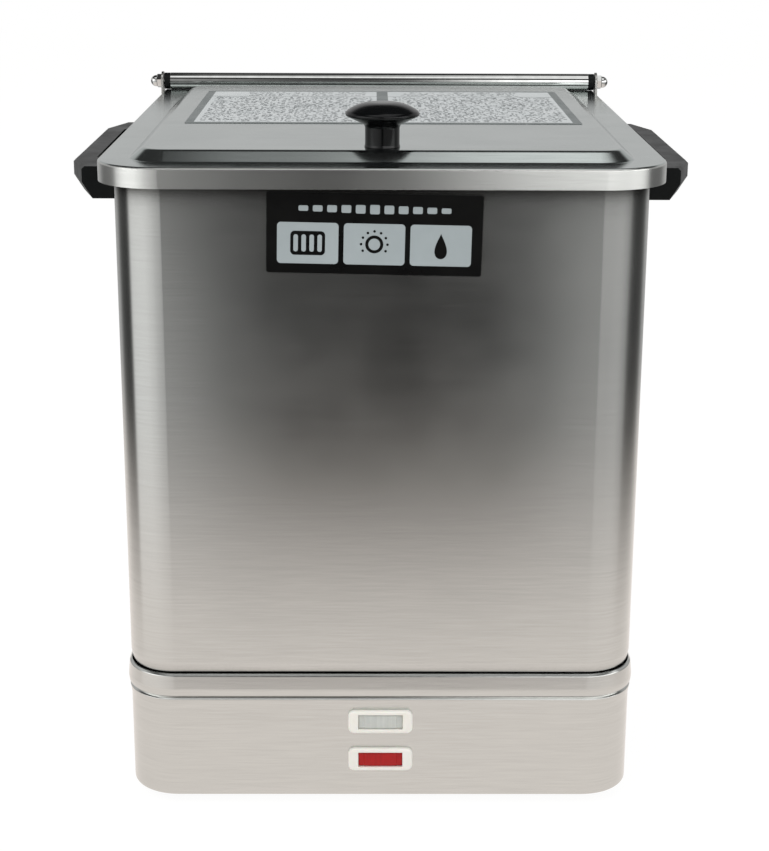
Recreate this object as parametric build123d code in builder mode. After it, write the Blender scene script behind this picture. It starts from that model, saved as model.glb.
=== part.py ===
"""Stationary hot pack heater: a stainless water tank on a drawn base, with a hinged lid.

Millimetres, +Z up. The heater stands on its feet at z = 0, its front faces -Y, and the
origin lies under the middle of the whole outline.
"""

import os
from math import atan2, degrees

from build123d import *

# ---------------------------------------------------------------- driving sizes
# Sheet and tank
sheet = 0.9
tank_width = 314.0
tank_depth = 389.0
corner_radius = 30.0
rim_height = 396.0
rim_roll = 4.4
floor_height = 74.0
floor_bend = 12.0
floor_lap = 4.0

# Base shell, with the bead that covers the tank's joggled foot
foot_height = 7.0
base_height = 83.2
base_step = 0.5
base_bend = 2.5
base_flange = 22.0
bead_height = 15.6
bead_bulge = 1.75
bead_step_height = 1.3
bead_step_out = 1.1
bead_lip_in = 0.6
joggle_depth = 1.3
joggle_height = 6.8

# Bottom plate, feet and their screws
plate_gauge = 1.2
plate_inset = 4.0
plate_screw_radius = 1.9
plate_screw_head = 3.8
plate_screw_head_height = 2.2
plate_screw_length = 9.0
plate_screw_inset = 12.0
plate_screw_rows = 3
foot_radius = 11.0
foot_taper = 1.5
foot_inset_x = 44.0
foot_inset_y = 44.0
foot_screw_radius = 2.0
foot_screw_head = 4.2
foot_screw_head_height = 2.4
foot_screw_sink = 1.2
foot_screw_length = 9.0

# Lid
lid_overhang = 9.2
lid_rear_overhang = 11.0
lid_gap = 0.3
lid_bend = 1.6
skirt_height = 12.2
panel_width = 296.0
panel_front_brim = 20.0
panel_rear_brim = 26.0
panel_radius = 22.0
panel_height = 6.3
panel_slope_run = 8.0
panel_top_round = 2.5

# Knob
knob_setback = 22.2
knob_height = 28.0
knob_head_radius = 22.25
knob_stem_radius = 10.15
knob_stem_height = 9.0
knob_rim_height = 20.6
knob_rim_round = 1.6
knob_bore_depth = 18.0
knob_screw_radius = 3.0
knob_screw_head = 5.6
knob_screw_head_height = 3.2
knob_screw_length = 15.0
knob_washer_radius = 8.0
knob_washer_gauge = 1.2

# Hinge
hinge_setback = 9.0
tube_radius = 6.35
tube_wall = 1.2
tube_seat = 0.02
bush_flange = 4.4
bush_flange_radius = 6.2
bush_plug = 12.0
bush_slack = 0.05
rod_radius = 2.4
running_slack = 0.05
ear_gauge = 1.6
ear_radius = 7.2
ear_gap = 0.6
ear_skirt_gap = 0.8
ear_waist = 5.4
bracket_gauge = 1.5
bracket_inner = 90.0
bracket_height = 38.0
bracket_drop = 1.4
bracket_bend = 2.5
rivet_radius = 2.4
rivet_head = 4.6
rivet_head_height = 2.2
rivet_bevel = 1.4
rivet_tail = 3.6
rivet_tail_height = 1.4
rivet_pitch_x = 20.0
rivet_pitch_z = 20.0
rivet_edge = 9.0
nut_across_flats = 9.5
nut_hex_height = 3.8
nut_dome_height = 4.9
nut_dome_radius = 4.3
nut_dome_share = 0.95
nut_bore_depth = 6.0

# Handles
handle_reach = 38.0
handle_half_length = 107.5
handle_flat_half = 73.5
handle_end_chamfer = 10.0
handle_bar = 14.0
handle_gap_half = 72.0
handle_height = 20.0
handle_drop = 1.5
handle_foot_chamfer_out = 6.0
handle_foot_chamfer_up = 10.0
handle_top_chamfer = 1.8
handle_inner_round = 5.0
handle_screw_pitch = 179.0
handle_screw_radius = 2.4
handle_screw_head = 4.8
handle_screw_head_height = 2.6
handle_screw_length = 20.0
handle_bore_depth = 20.0
handle_washer_radius = 7.0
handle_washer_gauge = 1.2
screw_slack = 0.1

# Labels
label_gauge = 0.4
lid_label_width = 255.0
lid_label_depth = 188.0
lid_label_x = 1.5
lid_label_setback = 127.7
front_label_width = 124.0
front_label_height = 47.0
front_label_x = -4.5
front_label_top = 3.5
front_label_tilt = -1.1
label_radius = 1.0

# Signal lamps
power_lamp_height = 51.6
lamp_pitch = 25.6
bezel_width = 40.0
bezel_height = 15.0
bezel_radius = 3.8
bezel_gauge = 3.0
bezel_round = 1.1
bezel_boss_width = 34.0
bezel_boss_height = 12.4
bezel_boss_depth = 8.0
lens_width = 27.6
lens_height = 10.0
lens_sink = 0.9
lens_round = 1.4
lens_depth = 7.0
lamp_body_depth = 16.0
lamp_tab_width = 6.3
lamp_tab_height = 0.8
lamp_tab_length = 8.0
lamp_tab_pitch = 16.0
fit_slack = 0.1

# Heating element, in the bottom of the tank
element_radius = 4.0
element_lift = 18.0
element_pitch = 40.0
element_end_margin = 34.0
element_fitting_setback = 95.0
element_bend = 16.0
element_riser_bend = 10.0
element_tail = 14.0
element_pin_radius = 1.5
element_pin_length = 8.0
fitting_hex = 22.0
fitting_hex_height = 6.0
fitting_shank_radius = 7.0
fitting_shank_length = 13.0
gasket_radius = 10.5
gasket_gauge = 1.5
fitting_nut_height = 5.0

# Thermostat, its sensing phial and the cut-out
thermostat_x = 62.0
thermostat_y = 40.0
thermostat_width = 44.0
thermostat_depth = 36.0
thermostat_height = 24.0
thermostat_round = 2.0
spindle_radius = 3.0
bracket_lift = 9.0
bracket_web_width = 56.0
bracket_foot = 12.0
dial_radius = 14.0
dial_height = 9.0
dial_window_gap = 3.0
dial_clearance = 3.5
dial_flutes = 16
dial_flute_radius = 1.6
dial_pointer_width = 2.4
dial_pointer_height = 0.8
dial_bore_depth = 7.0
dial_end_gap = 0.3
phial_radius = 4.0
phial_length = 90.0
phial_rear = 22.0
capillary_radius = 1.2
capillary_bend = 9.0
capillary_drop = 26.0
gland_hex = 14.0
gland_hex_height = 6.0
gland_shank_radius = 4.5
gland_shank_length = 10.0
cutout_x = -78.0
cutout_y = -70.0
cutout_radius = 8.0
cutout_height = 8.0
cutout_flange_width = 34.0
cutout_flange_depth = 12.0
cutout_flange_gauge = 1.0

# Terminals in the base
block_x = -70.0
block_y = 90.0
block_width = 54.0
block_depth = 24.0
block_height = 16.0
block_poles = 3
block_pitch = 16.0
block_trough_width = 12.0
block_trough_depth = 6.0
block_screw_radius = 2.4
block_screw_height = 5.0
block_screw_pitch = 14.0
block_screw_bevel = 0.4
stud_x = -118.0
stud_y = 60.0
stud_radius = 2.5
stud_height = 16.0
stud_head_radius = 6.0
stud_head_height = 1.5
earth_nut_flats = 8.0
earth_nut_height = 4.0

# Cord gland in the base's rear wall
gland_x = -96.0
gland_z = 30.0
cord_radius = 4.2
gland_body_radius = 7.9
gland_flange_radius = 11.0
gland_flange = 3.0
gland_depth = 12.0
gland_nose = 9.0
gland_nose_radius = 7.0
gland_nose_taper = 6.0

# Lift-out rack for six packs
wire_radius = 2.5
upright_radius = 2.0
rack_width = 264.0
rack_slots = 6
slot_pitch = 57.0
rack_lift = 38.0
rack_floor_gap = 0.3
rack_bars = 5
rack_rim_gap = 30.6
loop_width = 100.0
loop_height = 40.0
loop_round = 14.0
rack_corner = 12.0

# ---------------------------------------------------------------- derived places
# Heights above the table
base_z = foot_height
rim_z = base_z + rim_height
floor_z = base_z + floor_height
floor_top = floor_z + sheet
bead_top = base_z + base_height
plate_z = base_z - plate_gauge
brim_under = rim_z + lid_gap
brim_z = brim_under + sheet
skirt_z = brim_z - skirt_height
panel_z = brim_z + panel_height
hinge_z = brim_z + tube_radius + tube_seat
handle_top = skirt_z - handle_drop

# Places along Y: the outline's front and rear ends lie at equal distances from the origin
front_reach = tank_depth / 2 + lid_overhang
rear_reach = tank_depth / 2 + hinge_setback + ear_radius
tank_y = (front_reach - rear_reach) / 2
front_y = tank_y - tank_depth / 2
rear_y = tank_y + tank_depth / 2
hinge_y = rear_y + hinge_setback
lid_front = front_y - lid_overhang
lid_rear = rear_y + lid_rear_overhang
side_x = tank_width / 2
base_front = front_y - base_step
base_rear = rear_y + base_step
ear_x = side_x + lid_overhang + ear_skirt_gap
bush_x = ear_x - ear_gap
tube_half = bush_x - bush_flange
panel_front = lid_front + panel_front_brim
panel_rear = lid_rear - panel_rear_brim
panel_slope = degrees(atan2(panel_slope_run, panel_height))
knob_y = panel_front + knob_setback
rack_z = floor_top + rack_lift
rack_depth = rack_slots * slot_pitch
element_z = floor_top + element_lift


def level(height):
    """Horizontal plane above the middle of the tank."""
    return Plane((0, tank_y, height))


def facing(x, y, z, outward):
    """Upright plane whose sketch Y points up and whose normal points outward."""
    return Plane(origin=(x, y, z), x_dir=Vector(0, 0, 1).cross(Vector(outward)), z_dir=outward)


def outline_wire(height, width, depth, radius):
    """Rounded rectangle round the tank's middle, as a path for a wall's section."""
    with BuildSketch(level(height)) as ring:
        RectangleRounded(width, depth, radius)
    return ring.sketch.face().outer_wire()


def section_plane(path):
    """Plane across the start of a path: sketch X points inwards, sketch Y up."""
    inwards = Vector(0, 0, 1).cross(path % 0)
    return Plane(origin=path @ 0, x_dir=inwards, z_dir=path % 0)


def keep(name, label):
    """Label a finished piece and write its file."""
    name.part.label = label
    export_step(name.part, f"parts/{label}.step")


os.makedirs("parts", exist_ok=True)
FRONT = (0, -1, 0)
REAR = (0, 1, 0)
RIGHT = (1, 0, 0)
sides = (-1, 1)

# ---------------------------------------------------------------- tank
# Fastener places that several pieces share
handle_screw_z = handle_top - handle_height / 2
handle_screw_places = [(y, 0) for y in (-handle_screw_pitch / 2, handle_screw_pitch / 2)]
rivet_x = bracket_inner + rivet_edge + rivet_pitch_x / 2
rivet_z = skirt_z - bracket_drop - bracket_height / 2
fitting_places = [(side * element_pitch / 2, element_fitting_setback) for side in sides]
capillary_y = phial_rear + 2 * capillary_bend

tank_path = outline_wire(floor_z, tank_width, tank_depth, corner_radius)
floor_edge = joggle_depth + floor_bend
with BuildPart() as tank:
    with BuildSketch(section_plane(tank_path)):
        with BuildLine():
            flat = Line((floor_edge + floor_lap, 0), (floor_edge, 0))
            bend = JernArc(flat @ 1, flat % 1, floor_bend, -90)
            foot = Line(bend @ 1, (joggle_depth, bead_top - floor_z))
            joggle = Line(foot @ 1, (0, bead_top + joggle_height - floor_z))
            Line(joggle @ 1, (0, rim_z - floor_z - rim_roll / 2))
            offset(amount=sheet, side=Side.RIGHT)
        make_face()
        with Locations((sheet - rim_roll / 2, rim_z - floor_z - rim_roll / 2)):
            Circle(rim_roll / 2)
    sweep(path=tank_path)
    with BuildSketch(level(floor_z)):
        RectangleRounded(
            tank_width - 2 * floor_edge, tank_depth - 2 * floor_edge, corner_radius - floor_edge
        )
    extrude(amount=sheet)
    # Holes for the element's fittings and the phial's gland in the floor
    with BuildSketch(level(floor_z)):
        with Locations(*fitting_places):
            Circle(fitting_shank_radius + screw_slack)
        with Locations((0, capillary_y)):
            Circle(gland_shank_radius + screw_slack)
    extrude(amount=sheet, mode=Mode.SUBTRACT)
    # Holes for the handles' screws in both side walls
    with BuildSketch(facing(-side_x, tank_y, handle_screw_z, RIGHT)):
        with Locations(*handle_screw_places):
            Circle(handle_screw_radius + screw_slack)
    extrude(amount=tank_width, mode=Mode.SUBTRACT)
    # Holes for the hinge brackets' rivets in the rear wall
    with BuildSketch(facing(0, rear_y - 2 * sheet, rivet_z, REAR)):
        for side in sides:
            with Locations((side * rivet_x, 0)):
                with GridLocations(rivet_pitch_x, rivet_pitch_z, 2, 2):
                    Circle(rivet_radius + screw_slack)
    extrude(amount=3 * sheet, mode=Mode.SUBTRACT)
keep(tank, "tank")

# ---------------------------------------------------------------- base shell
base_width = tank_width + 2 * base_step
base_depth = tank_depth + 2 * base_step
base_radius = corner_radius + base_step
bead_foot = base_height - bead_height
base_path = outline_wire(base_z, base_width, base_depth, base_radius)
power_lamp_z = base_z + power_lamp_height
heat_lamp_z = power_lamp_z - lamp_pitch
gland_height = base_z + gland_z
flange_middle = plate_screw_inset + base_bend
plate_screw_pitch_x = base_width - 2 * flange_middle
plate_screw_pitch_y = (base_depth - 4 * flange_middle) / (plate_screw_rows - 1)
with BuildPart() as base_shell:
    with BuildSketch(section_plane(base_path)):
        with BuildLine():
            lip = Line((base_flange, 0), (base_bend, 0))
            bend = JernArc(lip @ 1, lip % 1, base_bend, -90)
            wall = Line(bend @ 1, (0, bead_foot))
            step = Line(wall @ 1, (-bead_step_out, bead_foot + bead_step_height))
            ThreePointArc(
                step @ 1,
                (-bead_bulge, bead_foot + bead_height / 2),
                (bead_lip_in, base_height),
            )
            offset(amount=sheet, side=Side.RIGHT)
        make_face()
    sweep(path=base_path)
    # Openings for the two signal lamps
    with BuildSketch(facing(0, base_front, 0, FRONT)):
        with Locations((0, power_lamp_z), (0, heat_lamp_z)):
            Rectangle(bezel_boss_width + 2 * fit_slack, bezel_boss_height + 2 * fit_slack)
    extrude(amount=-2 * sheet, mode=Mode.SUBTRACT)
    # Opening for the cord gland
    with BuildSketch(facing(gland_x, base_rear, gland_height, REAR)):
        Circle(gland_body_radius + fit_slack)
    extrude(amount=-2 * sheet, mode=Mode.SUBTRACT)
    # Pilot holes for the bottom plate's screws in the return flange
    with BuildSketch(level(base_z)):
        with GridLocations(plate_screw_pitch_x, plate_screw_pitch_y, 2, plate_screw_rows):
            Circle(plate_screw_radius + screw_slack)
    extrude(amount=sheet, mode=Mode.SUBTRACT)
keep(base_shell, "base_shell")

# ---------------------------------------------------------------- bottom plate
plate_width = base_width - 2 * plate_inset
plate_depth = base_depth - 2 * plate_inset
foot_pitch_x = tank_width - 2 * foot_inset_x
foot_pitch_y = tank_depth - 2 * foot_inset_y
with BuildPart() as bottom_plate:
    with BuildSketch(level(plate_z)):
        RectangleRounded(plate_width, plate_depth, base_radius - plate_inset)
        with GridLocations(plate_screw_pitch_x, plate_screw_pitch_y, 2, plate_screw_rows):
            Circle(plate_screw_radius + screw_slack, mode=Mode.SUBTRACT)
        with GridLocations(foot_pitch_x, foot_pitch_y, 2, 2):
            Circle(foot_screw_radius + screw_slack, mode=Mode.SUBTRACT)
        with Locations((thermostat_x, thermostat_y)):
            Circle(dial_radius + dial_window_gap, mode=Mode.SUBTRACT)
        with Locations((stud_x, stud_y)):
            Circle(stud_radius + screw_slack, mode=Mode.SUBTRACT)
    extrude(amount=plate_gauge)
keep(bottom_plate, "bottom_plate")

with BuildPart() as bottom_plate_screws:
    with BuildSketch(level(plate_z)):
        with GridLocations(plate_screw_pitch_x, plate_screw_pitch_y, 2, plate_screw_rows):
            Circle(plate_screw_head)
    extrude(amount=-plate_screw_head_height)
    chamfer(bottom_plate_screws.edges().group_by(Axis.Z)[0], plate_screw_head_height / 2)
    with BuildSketch(level(plate_z)):
        with GridLocations(plate_screw_pitch_x, plate_screw_pitch_y, 2, plate_screw_rows):
            Circle(plate_screw_radius)
    extrude(amount=plate_screw_length)
keep(bottom_plate_screws, "bottom_plate_screws")

with BuildPart() as feet:
    with BuildSketch(Plane.XY):
        with Locations((0, tank_y)):
            with GridLocations(foot_pitch_x, foot_pitch_y, 2, 2):
                Circle(foot_radius)
    extrude(amount=plate_z)
    chamfer(feet.edges().group_by(Axis.Z)[0], foot_taper)
    # Bore and counterbore for the screw
    with BuildSketch(Plane.XY):
        with Locations((0, tank_y)):
            with GridLocations(foot_pitch_x, foot_pitch_y, 2, 2):
                Circle(foot_screw_radius + screw_slack)
    extrude(amount=plate_z, mode=Mode.SUBTRACT)
    with BuildSketch(Plane.XY):
        with Locations((0, tank_y)):
            with GridLocations(foot_pitch_x, foot_pitch_y, 2, 2):
                Circle(foot_screw_head + screw_slack)
    extrude(amount=foot_screw_sink + foot_screw_head_height, mode=Mode.SUBTRACT)
keep(feet, "feet")

with BuildPart() as foot_screws:
    with BuildSketch(Plane.XY.offset(foot_screw_sink)):
        with Locations((0, tank_y)):
            with GridLocations(foot_pitch_x, foot_pitch_y, 2, 2):
                Circle(foot_screw_head)
    extrude(amount=foot_screw_head_height)
    with BuildSketch(Plane.XY.offset(foot_screw_sink + foot_screw_head_height)):
        with Locations((0, tank_y)):
            with GridLocations(foot_pitch_x, foot_pitch_y, 2, 2):
                Circle(foot_screw_radius)
    extrude(amount=foot_screw_length)
keep(foot_screws, "foot_screws")

# ---------------------------------------------------------------- lid
lid_width = tank_width + 2 * lid_overhang
lid_radius = corner_radius + lid_overhang
panel_depth = panel_rear - panel_front
panel_y = (panel_front + panel_rear) / 2


def lid_outline(inset, rear):
    """Lid's outline, inset all round but at the rear, with round front corners."""
    front = lid_front + inset
    with BuildSketch() as shape:
        with Locations((0, (front + rear) / 2)):
            Rectangle(lid_width - 2 * inset, rear - front)
        fillet(shape.vertices().group_by(Axis.Y)[0], lid_radius - inset)
    return shape.sketch


def raised_panel(height):
    """Solid under the lid's raised panel, from a height up: sloped sides, round edges."""
    with BuildPart() as form:
        with BuildSketch(Plane.XY.offset(height)):
            with Locations((0, panel_y)):
                RectangleRounded(panel_width, panel_depth, panel_radius)
        extrude(amount=panel_height, taper=panel_slope)
        fillet(form.faces().sort_by(Axis.Z)[-1].edges(), panel_top_round)
    return form.part


panel_solid = raised_panel(brim_z)
panel_hollow = raised_panel(brim_under)
with BuildPart() as lid:
    with BuildSketch(Plane.XY.offset(skirt_z)):
        add(lid_outline(0, lid_rear))
    extrude(amount=skirt_height)
    brim = lid.faces().sort_by(Axis.Z)[-1]
    fillet(brim.edges().sort_by(Axis.Y)[:-1], lid_bend)
    # Everything under the brim is open, out to the rear edge
    with BuildSketch(Plane.XY.offset(skirt_z)):
        add(lid_outline(sheet, lid_rear + sheet))
    extrude(amount=skirt_height - sheet, mode=Mode.SUBTRACT)
    add(panel_solid)
    add(panel_hollow, mode=Mode.SUBTRACT)
    # Hole for the knob's screw
    with BuildSketch(Plane.XY.offset(panel_z)):
        with Locations((0, knob_y)):
            Circle(knob_screw_radius + screw_slack)
    extrude(amount=-2 * sheet, mode=Mode.SUBTRACT)
keep(lid, "lid")

with BuildPart() as lid_label:
    with BuildSketch(Plane.XY.offset(panel_z)):
        with Locations((lid_label_x, panel_front + lid_label_setback + lid_label_depth / 2)):
            RectangleRounded(lid_label_width, lid_label_depth, label_radius)
    extrude(amount=label_gauge)
keep(lid_label, "lid_label")

# Knob: a mushroom with a hollow flare under its head, turned round its own axis
with BuildPart() as lid_knob:
    with BuildSketch(Plane((0, knob_y, panel_z), x_dir=(1, 0, 0), z_dir=FRONT)):
        with BuildLine():
            axis = Line((0, knob_height), (0, 0))
            foot = Line((0, 0), (knob_stem_radius, 0))
            stem = Line(foot @ 1, (knob_stem_radius, knob_stem_height))
            rim = knob_head_radius, knob_rim_height
            flare = TangentArc(
                stem @ 1, (knob_head_radius - knob_rim_round, knob_rim_height - knob_rim_round),
                tangent=(0, 1),
            )
            edge = ThreePointArc(
                flare @ 1, rim, (knob_head_radius - knob_rim_round, knob_rim_height + knob_rim_round)
            )
            TangentArc(axis @ 0, edge @ 1, tangent=(1, 0))
        make_face()
    revolve(axis=Axis((0, knob_y, 0), (0, 0, 1)))
    with BuildSketch(Plane.XY.offset(panel_z)):
        with Locations((0, knob_y)):
            Circle(knob_screw_radius + screw_slack)
    extrude(amount=knob_bore_depth, mode=Mode.SUBTRACT)
keep(lid_knob, "lid_knob")

panel_under = panel_z - sheet
washer_under = panel_under - knob_washer_gauge
with BuildPart() as knob_washer:
    with BuildSketch(Plane.XY.offset(panel_under)):
        with Locations((0, knob_y)):
            Circle(knob_washer_radius)
            Circle(knob_screw_radius + screw_slack, mode=Mode.SUBTRACT)
    extrude(amount=-knob_washer_gauge)
keep(knob_washer, "knob_washer")

with BuildPart() as knob_screw:
    with BuildSketch(Plane.XY.offset(washer_under)):
        with Locations((0, knob_y)):
            Circle(knob_screw_head)
    extrude(amount=-knob_screw_head_height)
    chamfer(knob_screw.edges().group_by(Axis.Z)[0], knob_screw_head_height / 2)
    with BuildSketch(Plane.XY.offset(washer_under)):
        with Locations((0, knob_y)):
            Circle(knob_screw_radius)
    extrude(amount=knob_screw_length)
keep(knob_screw, "knob_screw")

# ---------------------------------------------------------------- hinge
hinge_end = ear_x + ear_gauge
with BuildPart() as hinge_tube:
    with BuildSketch(facing(-tube_half, hinge_y, hinge_z, RIGHT)):
        Circle(tube_radius)
        Circle(tube_radius - tube_wall, mode=Mode.SUBTRACT)
    extrude(amount=2 * tube_half)
keep(hinge_tube, "hinge_tube")

with BuildPart() as hinge_bushes:
    for side in sides:
        with BuildSketch(facing(side * tube_half, hinge_y, hinge_z, RIGHT)):
            Circle(bush_flange_radius)
        extrude(amount=side * bush_flange)
        with BuildSketch(facing(side * tube_half, hinge_y, hinge_z, RIGHT)):
            Circle(tube_radius - tube_wall - bush_slack)
        extrude(amount=-side * bush_plug)
    with BuildSketch(facing(-ear_x, hinge_y, hinge_z, RIGHT)):
        Circle(rod_radius + running_slack)
    extrude(amount=2 * ear_x, mode=Mode.SUBTRACT)
keep(hinge_bushes, "hinge_bushes")

rod_half = hinge_end + nut_bore_depth - screw_slack
with BuildPart() as hinge_rod:
    with BuildSketch(facing(-rod_half, hinge_y, hinge_z, RIGHT)):
        Circle(rod_radius)
    extrude(amount=2 * rod_half)
keep(hinge_rod, "hinge_rod")

with BuildPart() as acorn_nuts:
    for side in sides:
        with BuildSketch(facing(side * hinge_end, hinge_y, hinge_z, RIGHT)):
            RegularPolygon(nut_across_flats / 2, 6, major_radius=False, rotation=30)
        extrude(amount=side * nut_hex_height)
        with BuildSketch(facing(side * hinge_end, hinge_y, hinge_z, RIGHT)):
            Circle(nut_dome_radius)
        extrude(amount=side * (nut_hex_height + nut_dome_height))
        tip = acorn_nuts.faces().sort_by(Axis.X)[-1 if side > 0 else 0]
        fillet(tip.edges(), nut_dome_radius * nut_dome_share)
    with BuildSketch(facing(-rod_half, hinge_y, hinge_z, RIGHT)):
        Circle(rod_radius + fit_slack)
    extrude(amount=2 * rod_half, mode=Mode.SUBTRACT)
keep(acorn_nuts, "acorn_nuts")

bracket_top = skirt_z - bracket_drop
bracket_foot_z = bracket_top - bracket_height
with BuildPart() as hinge_bracket_right:
    # Leaf on the rear wall, reaching out past the tank's corner
    with BuildSketch(facing(0, rear_y, 0, REAR)):
        with Locations((-(bracket_inner + hinge_end) / 2, (bracket_foot_z + bracket_top) / 2)):
            Rectangle(hinge_end - bracket_inner, bracket_height)
    extrude(amount=bracket_gauge)
    # Ear with its eye round the rod
    with BuildSketch(facing(ear_x, hinge_y, hinge_z, RIGHT)):
        Circle(ear_radius)
        with BuildLine():
            Polyline(
                (-hinge_setback, bracket_foot_z - hinge_z),
                (0, bracket_foot_z - hinge_z),
                (ear_waist, bracket_top - hinge_z - bracket_bend),
                (ear_radius, 0),
                (-ear_radius, 0),
                (-hinge_setback, bracket_top - hinge_z),
                close=True,
            )
        make_face()
    extrude(amount=ear_gauge)
    with BuildSketch(facing(ear_x, hinge_y, hinge_z, RIGHT)):
        Circle(rod_radius + fit_slack)
    extrude(amount=ear_gauge, mode=Mode.SUBTRACT)
    with BuildSketch(facing(0, rear_y, rivet_z, REAR)):
        with Locations((-rivet_x, 0)):
            with GridLocations(rivet_pitch_x, rivet_pitch_z, 2, 2):
                Circle(rivet_radius + screw_slack)
    extrude(amount=bracket_gauge, mode=Mode.SUBTRACT)
keep(hinge_bracket_right, "hinge_bracket_right")

with BuildPart() as hinge_bracket_left:
    mirror(hinge_bracket_right.part, about=Plane.YZ)
keep(hinge_bracket_left, "hinge_bracket_left")

with BuildPart() as bracket_rivets:
    rivet_face = rear_y + bracket_gauge
    wall_inside = rear_y - sheet
    for start, radius, length in (
        (rivet_face, rivet_head, rivet_head_height),
        (wall_inside, rivet_radius, sheet + bracket_gauge),
        (wall_inside - rivet_tail_height, rivet_tail, rivet_tail_height),
    ):
        with BuildSketch(facing(0, start, rivet_z, REAR)):
            for side in sides:
                with Locations((side * rivet_x, 0)):
                    with GridLocations(rivet_pitch_x, rivet_pitch_z, 2, 2):
                        Circle(radius)
        extrude(amount=length)
    chamfer(bracket_rivets.edges().group_by(Axis.Y)[-1], rivet_bevel)
keep(bracket_rivets, "bracket_rivets")

# ---------------------------------------------------------------- handles
handle_foot_z = handle_top - handle_height
with BuildPart() as handle_right:
    with BuildSketch(level(handle_foot_z)):
        with BuildLine():
            Polyline(
                (side_x, -handle_half_length),
                (side_x + handle_reach - handle_end_chamfer, -handle_half_length),
                (side_x + handle_reach, -handle_flat_half),
                (side_x + handle_reach, handle_flat_half),
                (side_x + handle_reach - handle_end_chamfer, handle_half_length),
                (side_x, handle_half_length),
                close=True,
            )
        make_face()
    extrude(amount=handle_height)
    # Sloped lower flank and a small bevel above, along the bar and its raked ends
    for end, out, up in (
        (0, handle_foot_chamfer_out, handle_foot_chamfer_up),
        (-1, handle_top_chamfer, handle_top_chamfer),
    ):
        rim = handle_right.edges().filter_by(Plane.XY).group_by(Axis.Z)[end]
        outer = rim.filter_by(lambda edge: edge.center().X > side_x + handle_reach / 2)
        outer = outer.filter_by(lambda edge: abs(edge.center().Y - tank_y) < handle_half_length)
        face = handle_right.faces().sort_by(Axis.Z)[end]
        chamfer(outer, out, up, reference=face)
    # Opening for the fingers
    with BuildSketch(level(handle_foot_z)):
        with Locations((side_x + (handle_reach - handle_bar) / 2, 0)):
            Rectangle(handle_reach - handle_bar, 2 * handle_gap_half)
    extrude(amount=handle_height, mode=Mode.SUBTRACT)
    corners = handle_right.edges().filter_by(Axis.Z)
    corners = corners.filter_by(lambda edge: abs(edge.center().Y - tank_y) < handle_flat_half)
    fillet(corners.filter_by(lambda edge: edge.center().X > side_x + sheet), handle_inner_round)
    # Blind bores for the screws
    with BuildSketch(facing(side_x, tank_y, handle_screw_z, RIGHT)):
        with Locations(*handle_screw_places):
            Circle(handle_screw_radius + screw_slack)
    extrude(amount=handle_bore_depth, mode=Mode.SUBTRACT)
keep(handle_right, "handle_right")

with BuildPart() as handle_left:
    mirror(handle_right.part, about=Plane.YZ)
keep(handle_left, "handle_left")

wall_half = side_x - sheet
with BuildPart() as handle_washers:
    for side in sides:
        with BuildSketch(facing(side * wall_half, tank_y, handle_screw_z, RIGHT)):
            with Locations(*handle_screw_places):
                Circle(handle_washer_radius)
                Circle(handle_screw_radius + screw_slack, mode=Mode.SUBTRACT)
        extrude(amount=-side * handle_washer_gauge)
keep(handle_washers, "handle_washers")

screw_face = wall_half - handle_washer_gauge
with BuildPart() as handle_screws:
    for side in sides:
        with BuildSketch(facing(side * screw_face, tank_y, handle_screw_z, RIGHT)):
            with Locations(*handle_screw_places):
                Circle(handle_screw_head)
        extrude(amount=-side * handle_screw_head_height)
        crown_x = side * (screw_face - handle_screw_head_height)
        crowns = handle_screws.faces().filter_by_position(Axis.X, crown_x - sheet, crown_x + sheet)
        crowns = crowns.filter_by(GeomType.PLANE)
        chamfer(crowns.edges(), handle_screw_head_height / 2)
        with BuildSketch(facing(side * screw_face, tank_y, handle_screw_z, RIGHT)):
            with Locations(*handle_screw_places):
                Circle(handle_screw_radius)
        extrude(amount=side * handle_screw_length)
keep(handle_screws, "handle_screws")

# ---------------------------------------------------------------- front label
front_label_z = skirt_z - front_label_top - front_label_height / 2
with BuildPart() as front_label:
    with BuildSketch(facing(front_label_x, front_y, front_label_z, FRONT)):
        RectangleRounded(front_label_width, front_label_height, label_radius,
                         rotation=front_label_tilt)
    extrude(amount=label_gauge)
keep(front_label, "front_label")

# ---------------------------------------------------------------- signal lamps
boss_back = base_front + bezel_boss_depth
for lamp, lamp_z in (("power", power_lamp_z), ("heat", heat_lamp_z)):
    with BuildPart() as bezel:
        with BuildSketch(facing(0, base_front, lamp_z, FRONT)):
            RectangleRounded(bezel_width, bezel_height, bezel_radius)
        extrude(amount=bezel_gauge)
        fillet(bezel.faces().sort_by(Axis.Y)[0].edges(), bezel_round)
        with BuildSketch(facing(0, base_front, lamp_z, FRONT)):
            Rectangle(bezel_boss_width, bezel_boss_height)
        extrude(amount=-bezel_boss_depth)
        with BuildSketch(facing(0, boss_back, lamp_z, FRONT)):
            Rectangle(lens_width, lens_height)
        extrude(amount=bezel_boss_depth + bezel_gauge, mode=Mode.SUBTRACT)
    keep(bezel, f"{lamp}_bezel")

    with BuildPart() as lens:
        with BuildSketch(facing(0, base_front - bezel_gauge + lens_sink, lamp_z, FRONT)):
            Rectangle(lens_width - 2 * fit_slack, lens_height - 2 * fit_slack)
        extrude(amount=-lens_depth)
        front_edges = lens.faces().sort_by(Axis.Y)[0].edges().filter_by(Axis.X)
        fillet(front_edges, lens_round)
    keep(lens, f"{lamp}_lens")

    with BuildPart() as lamp_body:
        with BuildSketch(facing(0, boss_back, lamp_z, REAR)):
            Rectangle(bezel_boss_width, bezel_boss_height)
        extrude(amount=lamp_body_depth)
        with BuildSketch(facing(0, boss_back + lamp_body_depth, lamp_z, REAR)):
            with GridLocations(lamp_tab_pitch, 1, 2, 1):
                Rectangle(lamp_tab_width, lamp_tab_height)
        extrude(amount=lamp_tab_length)
    keep(lamp_body, f"{lamp}_lamp")

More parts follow.
